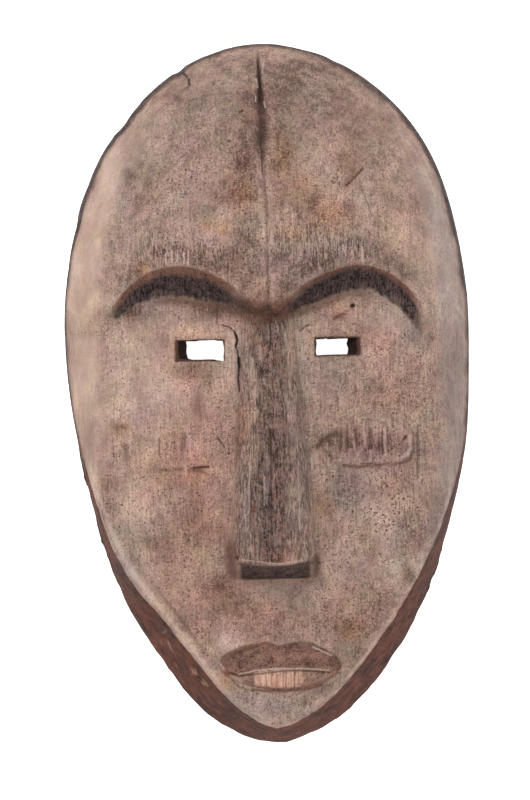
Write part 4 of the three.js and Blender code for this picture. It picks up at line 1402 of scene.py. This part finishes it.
class ClayNodes(Nodes):
    """Layers of the finish, from the clay up to the fine lines on it."""

    def __init__(self, name):
        super().__init__(name)
        metres = self.new("TexCoord").outputs["Object"]
        self.place = self.vector("MULTIPLY", metres, (1000, 1000, 1000))
        self.blotch = self.noise(24, 3, 0.55, 0.5, 0)
        self.mottle = self.noise(7.5, 5, 0.68, 0.5, 310)
        self.grit = self.noise(1.3, 3, 0.75, 0.3, 520)
        self.grain = self.noise((1.2, 13, 4), 3, 0.65, 0.4, 730)
        self.front = self.attribute("front")
        self.pits = self.attribute("pits")
        self.scratch = self.attribute("scratch")
        uneven = self.plus(self.blotch, 1.2, 1.0)
        self.rough_clay = self.plus(self.attribute("plain"), -0.6, uneven)
        flecks = self.noise((0.8, 5.0, 5.0), 2, 0.6, 0.0, 940)
        flecks = self.plus(self.scratch, 0.16, flecks)
        self.fleck = self.times(self.step(flecks, 0.18, 0.26), 0.55)
        self.speck = self.specks()
        self.patterns = self.wood_patterns()

    def noise(self, size, detail, roughness, distortion, shift):
        """Noise less its mean."""
        sizes = size if isinstance(size, tuple) else (size, size, size)
        inputs = {"Detail": detail, "Roughness": roughness, "Distortion": distortion}
        node = self.texture(self.place, sizes, shift, **inputs)
        return self.math("SUBTRACT", node.outputs[0], 0.5)

    def specks(self):
        """Dark pin-pricks and round pits, on the front only."""
        fine = self.noise(1.3, 1, 0.5, 0.8, 150)
        dense = self.sum((self.rough_clay, 0.12), (self.mottle, 0.14), (fine, 1.0))
        speck = self.times(self.step(self.plus(self.pits, 0.05, dense), 0.26, 0.33), 0.85)
        wide = self.vector("MULTIPLY", self.place, (0.3, 0.3, 0.3))
        pore = self.fed("TexVoronoi", {"Vector": wide, "Scale": 1.0}).outputs["Distance"]
        hole = self.step(self.plus(self.grit, 0.4, pore), 0.24, 0.14)
        chance = self.step(self.plus(self.pits, 0.35, self.mottle), 0.26, 0.36)
        speck = self.math("MAXIMUM", speck, self.times(hole, chance))
        return self.times(speck, self.front)

    def wood_patterns(self):
        """Ways that a stain runs from dark to light."""
        mottle, grit, grain, blotch = self.mottle, self.grit, self.grain, self.blotch
        even = self.sum((mottle, 1.5), (grit, 1.0), (blotch, 0.6), (grain, 0.4), (0.5, 1.0))
        lively = self.sum(
            (mottle, 2.2), (grit, 1.9), (self.fleck, 0.4), (self.speck, -0.5), (0.5, 1.0)
        )
        planed = self.sum((grain, 2.2), (mottle, 1.8), (grit, 2.1), (self.fleck, 0.9), (0.36, 1.0))
        even, lively = self.clamped(even), self.clamped(lively)
        return {
            "even": even,
            "lively": lively,
            "planed": self.clamped(planed),
            "streaked": self.clamped(self.plus(grain, 1.6, even)),
            "stained": self.clamped(self.plus(blotch, 1.6, lively)),
        }

    def clay(self):
        """Colour of the clay by how thick it lies, with painted shade and highlight from the fine
        carving, and its flecks and specks.
        """
        flakes = self.step(self.plus(self.grit, 0.5, self.mottle), -0.03, 0.05)
        streaks = self.plus(self.scratch, 0.6, 0.36)
        broken = self.sum(
            (self.mottle, 0.42),
            (self.grit, 0.75),
            (self.math("SUBTRACT", flakes, 0.5), 0.05),
            (self.times(self.grain, streaks), 1.0),
        )
        cover = self.sum(
            (self.times(broken, self.rough_clay), 1.0),
            (self.blotch, 0.50),
            # Painted shade where the surface is cut in, painted highlight where it is raised
            (self.attribute("cavity"), 0.08),
            (self.attribute("tone"), 0.30),
            (self.front, 0.455),
        )
        ramp = self.new("ValToRGB", cover)
        stops = ramp.color_ramp.elements
        while len(stops) < len(CLAY_COLOURS):
            stops.new(0.5)
        for stop, (position, colour) in zip(stops, CLAY_COLOURS):
            stop.position = position
            stop.color = linear(*colour)
        colour = self.mix(self.fleck, ramp.outputs[0], linear(*FLECK_COLOUR))
        return self.mix(self.speck, colour, linear(*SPECK_COLOUR))

    def wood(self, pattern, dark, light):
        if dark == light:
            return linear(*dark)
        return self.mix(self.patterns[pattern], linear(*dark), linear(*light))

    # Lays the STAINS layers over the colour, with painted shade and highlight among them
    def stained(self, colour):
        for name, spread, low, high, strength, dark, light, pattern in STAINS:
            ragged = self.plus(self.mottle, spread, self.attribute(name))
            share = self.step(self.plus(self.grit, 0.6 * spread, ragged), low, high)
            wood = self.wood(pattern, dark, light)
            colour = self.mix(self.times(share, strength), colour, wood)
        return self.mix(self.attribute("groove"), colour, linear(*GROOVE_COLOUR))

    def tinted(self, colour, size, strength, shift):
        """Colour with each of its channels drifting on its own."""
        node = self.texture(self.place, (size, size, size), shift, Detail=2.0)
        return self.mix(strength, colour, node.outputs["Color"], "OVERLAY")

    def drifting(self, colour):
        """Drifts of pink, purple-grey and ochre."""
        colour = self.tinted(colour, 18, 0.12, 40)
        colour = self.tinted(colour, 4.0, self.plus(self.attribute("worn"), 0.16, 0.07), 90)
        blotch = self.times(self.blotch, self.rough_clay)
        for name, pattern, factor, tint in (
            ("pink", blotch, 0.8, PINK),
            ("cool", self.mottle, -0.8, PURPLE_GREY),
            ("ochre", self.mottle, 0.7, OCHRE),
        ):
            share = self.clamped(self.plus(pattern, factor, self.attribute(name)))
            colour = self.mix(share, colour, tint, "MULTIPLY")
        return colour

    def lined(self, colour):
        """Fine lines and cracks, on the front only."""
        sway = self.new("CombineXYZ", self.times(self.mottle, 2.4), self.times(self.blotch, 1.6))
        flat = self.vector("MULTIPLY_ADD", self.place, (1, 1, 0), sway.outputs[0])
        broken = self.times(self.sum((self.grit, 2.2), (0.85, 1.0)), self.front)
        broken = self.clamped(broken)
        for strokes, paint in FINE_LINES:
            share = self.times(self.strokes(flat, strokes), broken)
            colour = self.mix(share, colour, linear(*paint))
        return colour


def kaolin_wood():
    """White clay worn thin over dark brown wood."""
    n = ClayNodes("kaolin_wood")
    colour = n.lined(n.drifting(n.stained(n.clay())))
    # Slit walls: dark bare wood with painted shade
    colour = n.mix(n.attribute("slit"), colour, n.wood("even", *SLIT_COLOURS))
    height = n.sum((n.grit, 0.55), (n.grain, 0.3), (n.mottle, 0.7), (n.speck, -0.35), (n.fleck, 0.15))
    bump = n.fed("Bump", {"Strength": 0.8, "Distance": 0.001, "Height": height})
    shader = {
        "Base Color": colour,
        "Normal": bump.outputs[0],
        "Roughness": n.clamped(n.plus(n.grit, 0.25, 0.88)),
        "Specular IOR Level": 0.12,
    }
    return n.surfaced(n.fed("BsdfPrincipled", shader))


def floor_material():
    """Pale floor with a faint glow, plain from above and clear from below."""
    n = Nodes("pale_floor")
    shader = n.fed("BsdfPrincipled", {
        "Base Color": (0.86, 0.86, 0.86, 1),
        "Roughness": 0.9,
        "Specular IOR Level": 0.0,
        "Emission Color": (1, 1, 1, 1),
        "Emission Strength": 1.0,
    })
    under = n.new("NewGeometry").outputs["Backfacing"]
    clear = n.new("BsdfTransparent").outputs[0]
    return n.surfaced(n.new("MixShader", under, shader.outputs[0], clear))


def area_light(name, place, power):
    light = bpy.data.lights.new(name, "AREA")
    light.shape = "DISK"
    light.size = LIGHT_WIDTH
    light.energy = power
    made = bpy.data.objects.new(name, light)
    made.location = place
    made.rotation_euler = (-Vector(place)).to_track_quat("-Z", "Y").to_euler()
    bpy.context.scene.collection.objects.link(made)


def floor_object():
    half = FLOOR_HALF
    corners = [(-half, -half), (half, -half), (half, half), (-half, half)]
    mesh = bpy.data.meshes.new("floor")
    mesh.from_pydata([(x, y, FLOOR_LEVEL) for x, y in corners], [], [(0, 1, 2, 3)])
    mesh.materials.append(floor_material())
    made = bpy.data.objects.new("floor", mesh)
    bpy.context.scene.collection.objects.link(made)
    return made


piece = mesh_object("carved_mask", *mask_mesh())
cut_slits(piece)
add_masks(piece)
piece.data.materials.clear()
piece.data.materials.append(kaolin_wood())
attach(piece, "root")
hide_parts("mask")

floor = floor_object()
area_light("key", (-0.9, 1.3, 2.4), 46)
area_light("fill", (1.4, -0.4, 2.2), 16)

world = bpy.data.worlds.new("studio")
world.use_nodes = True
background = world.node_tree.nodes["Background"]
background.inputs["Color"].default_value = (1, 1, 1, 1)
background.inputs["Strength"].default_value = WORLD_STRENGTH
scene = bpy.context.scene
scene.world = world
scene.view_settings.view_transform = "Standard"
scene.view_settings.look = "None"
scene.view_settings.exposure = 0.0
scene.view_settings.gamma = 1.0

# Camera looking straight down on the lying mask, turned by a hair
camera_data = bpy.data.cameras.new("camera")
camera_data.sensor_fit = "AUTO"
camera_data.sensor_width = 36.0
camera_data.lens = CAMERA_LENS
camera = bpy.data.objects.new("camera", camera_data)
camera.location = CAMERA_PLACE
camera.rotation_euler = (0, 0, CAMERA_TURN)
scene.collection.objects.link(camera)
scene.camera = camera
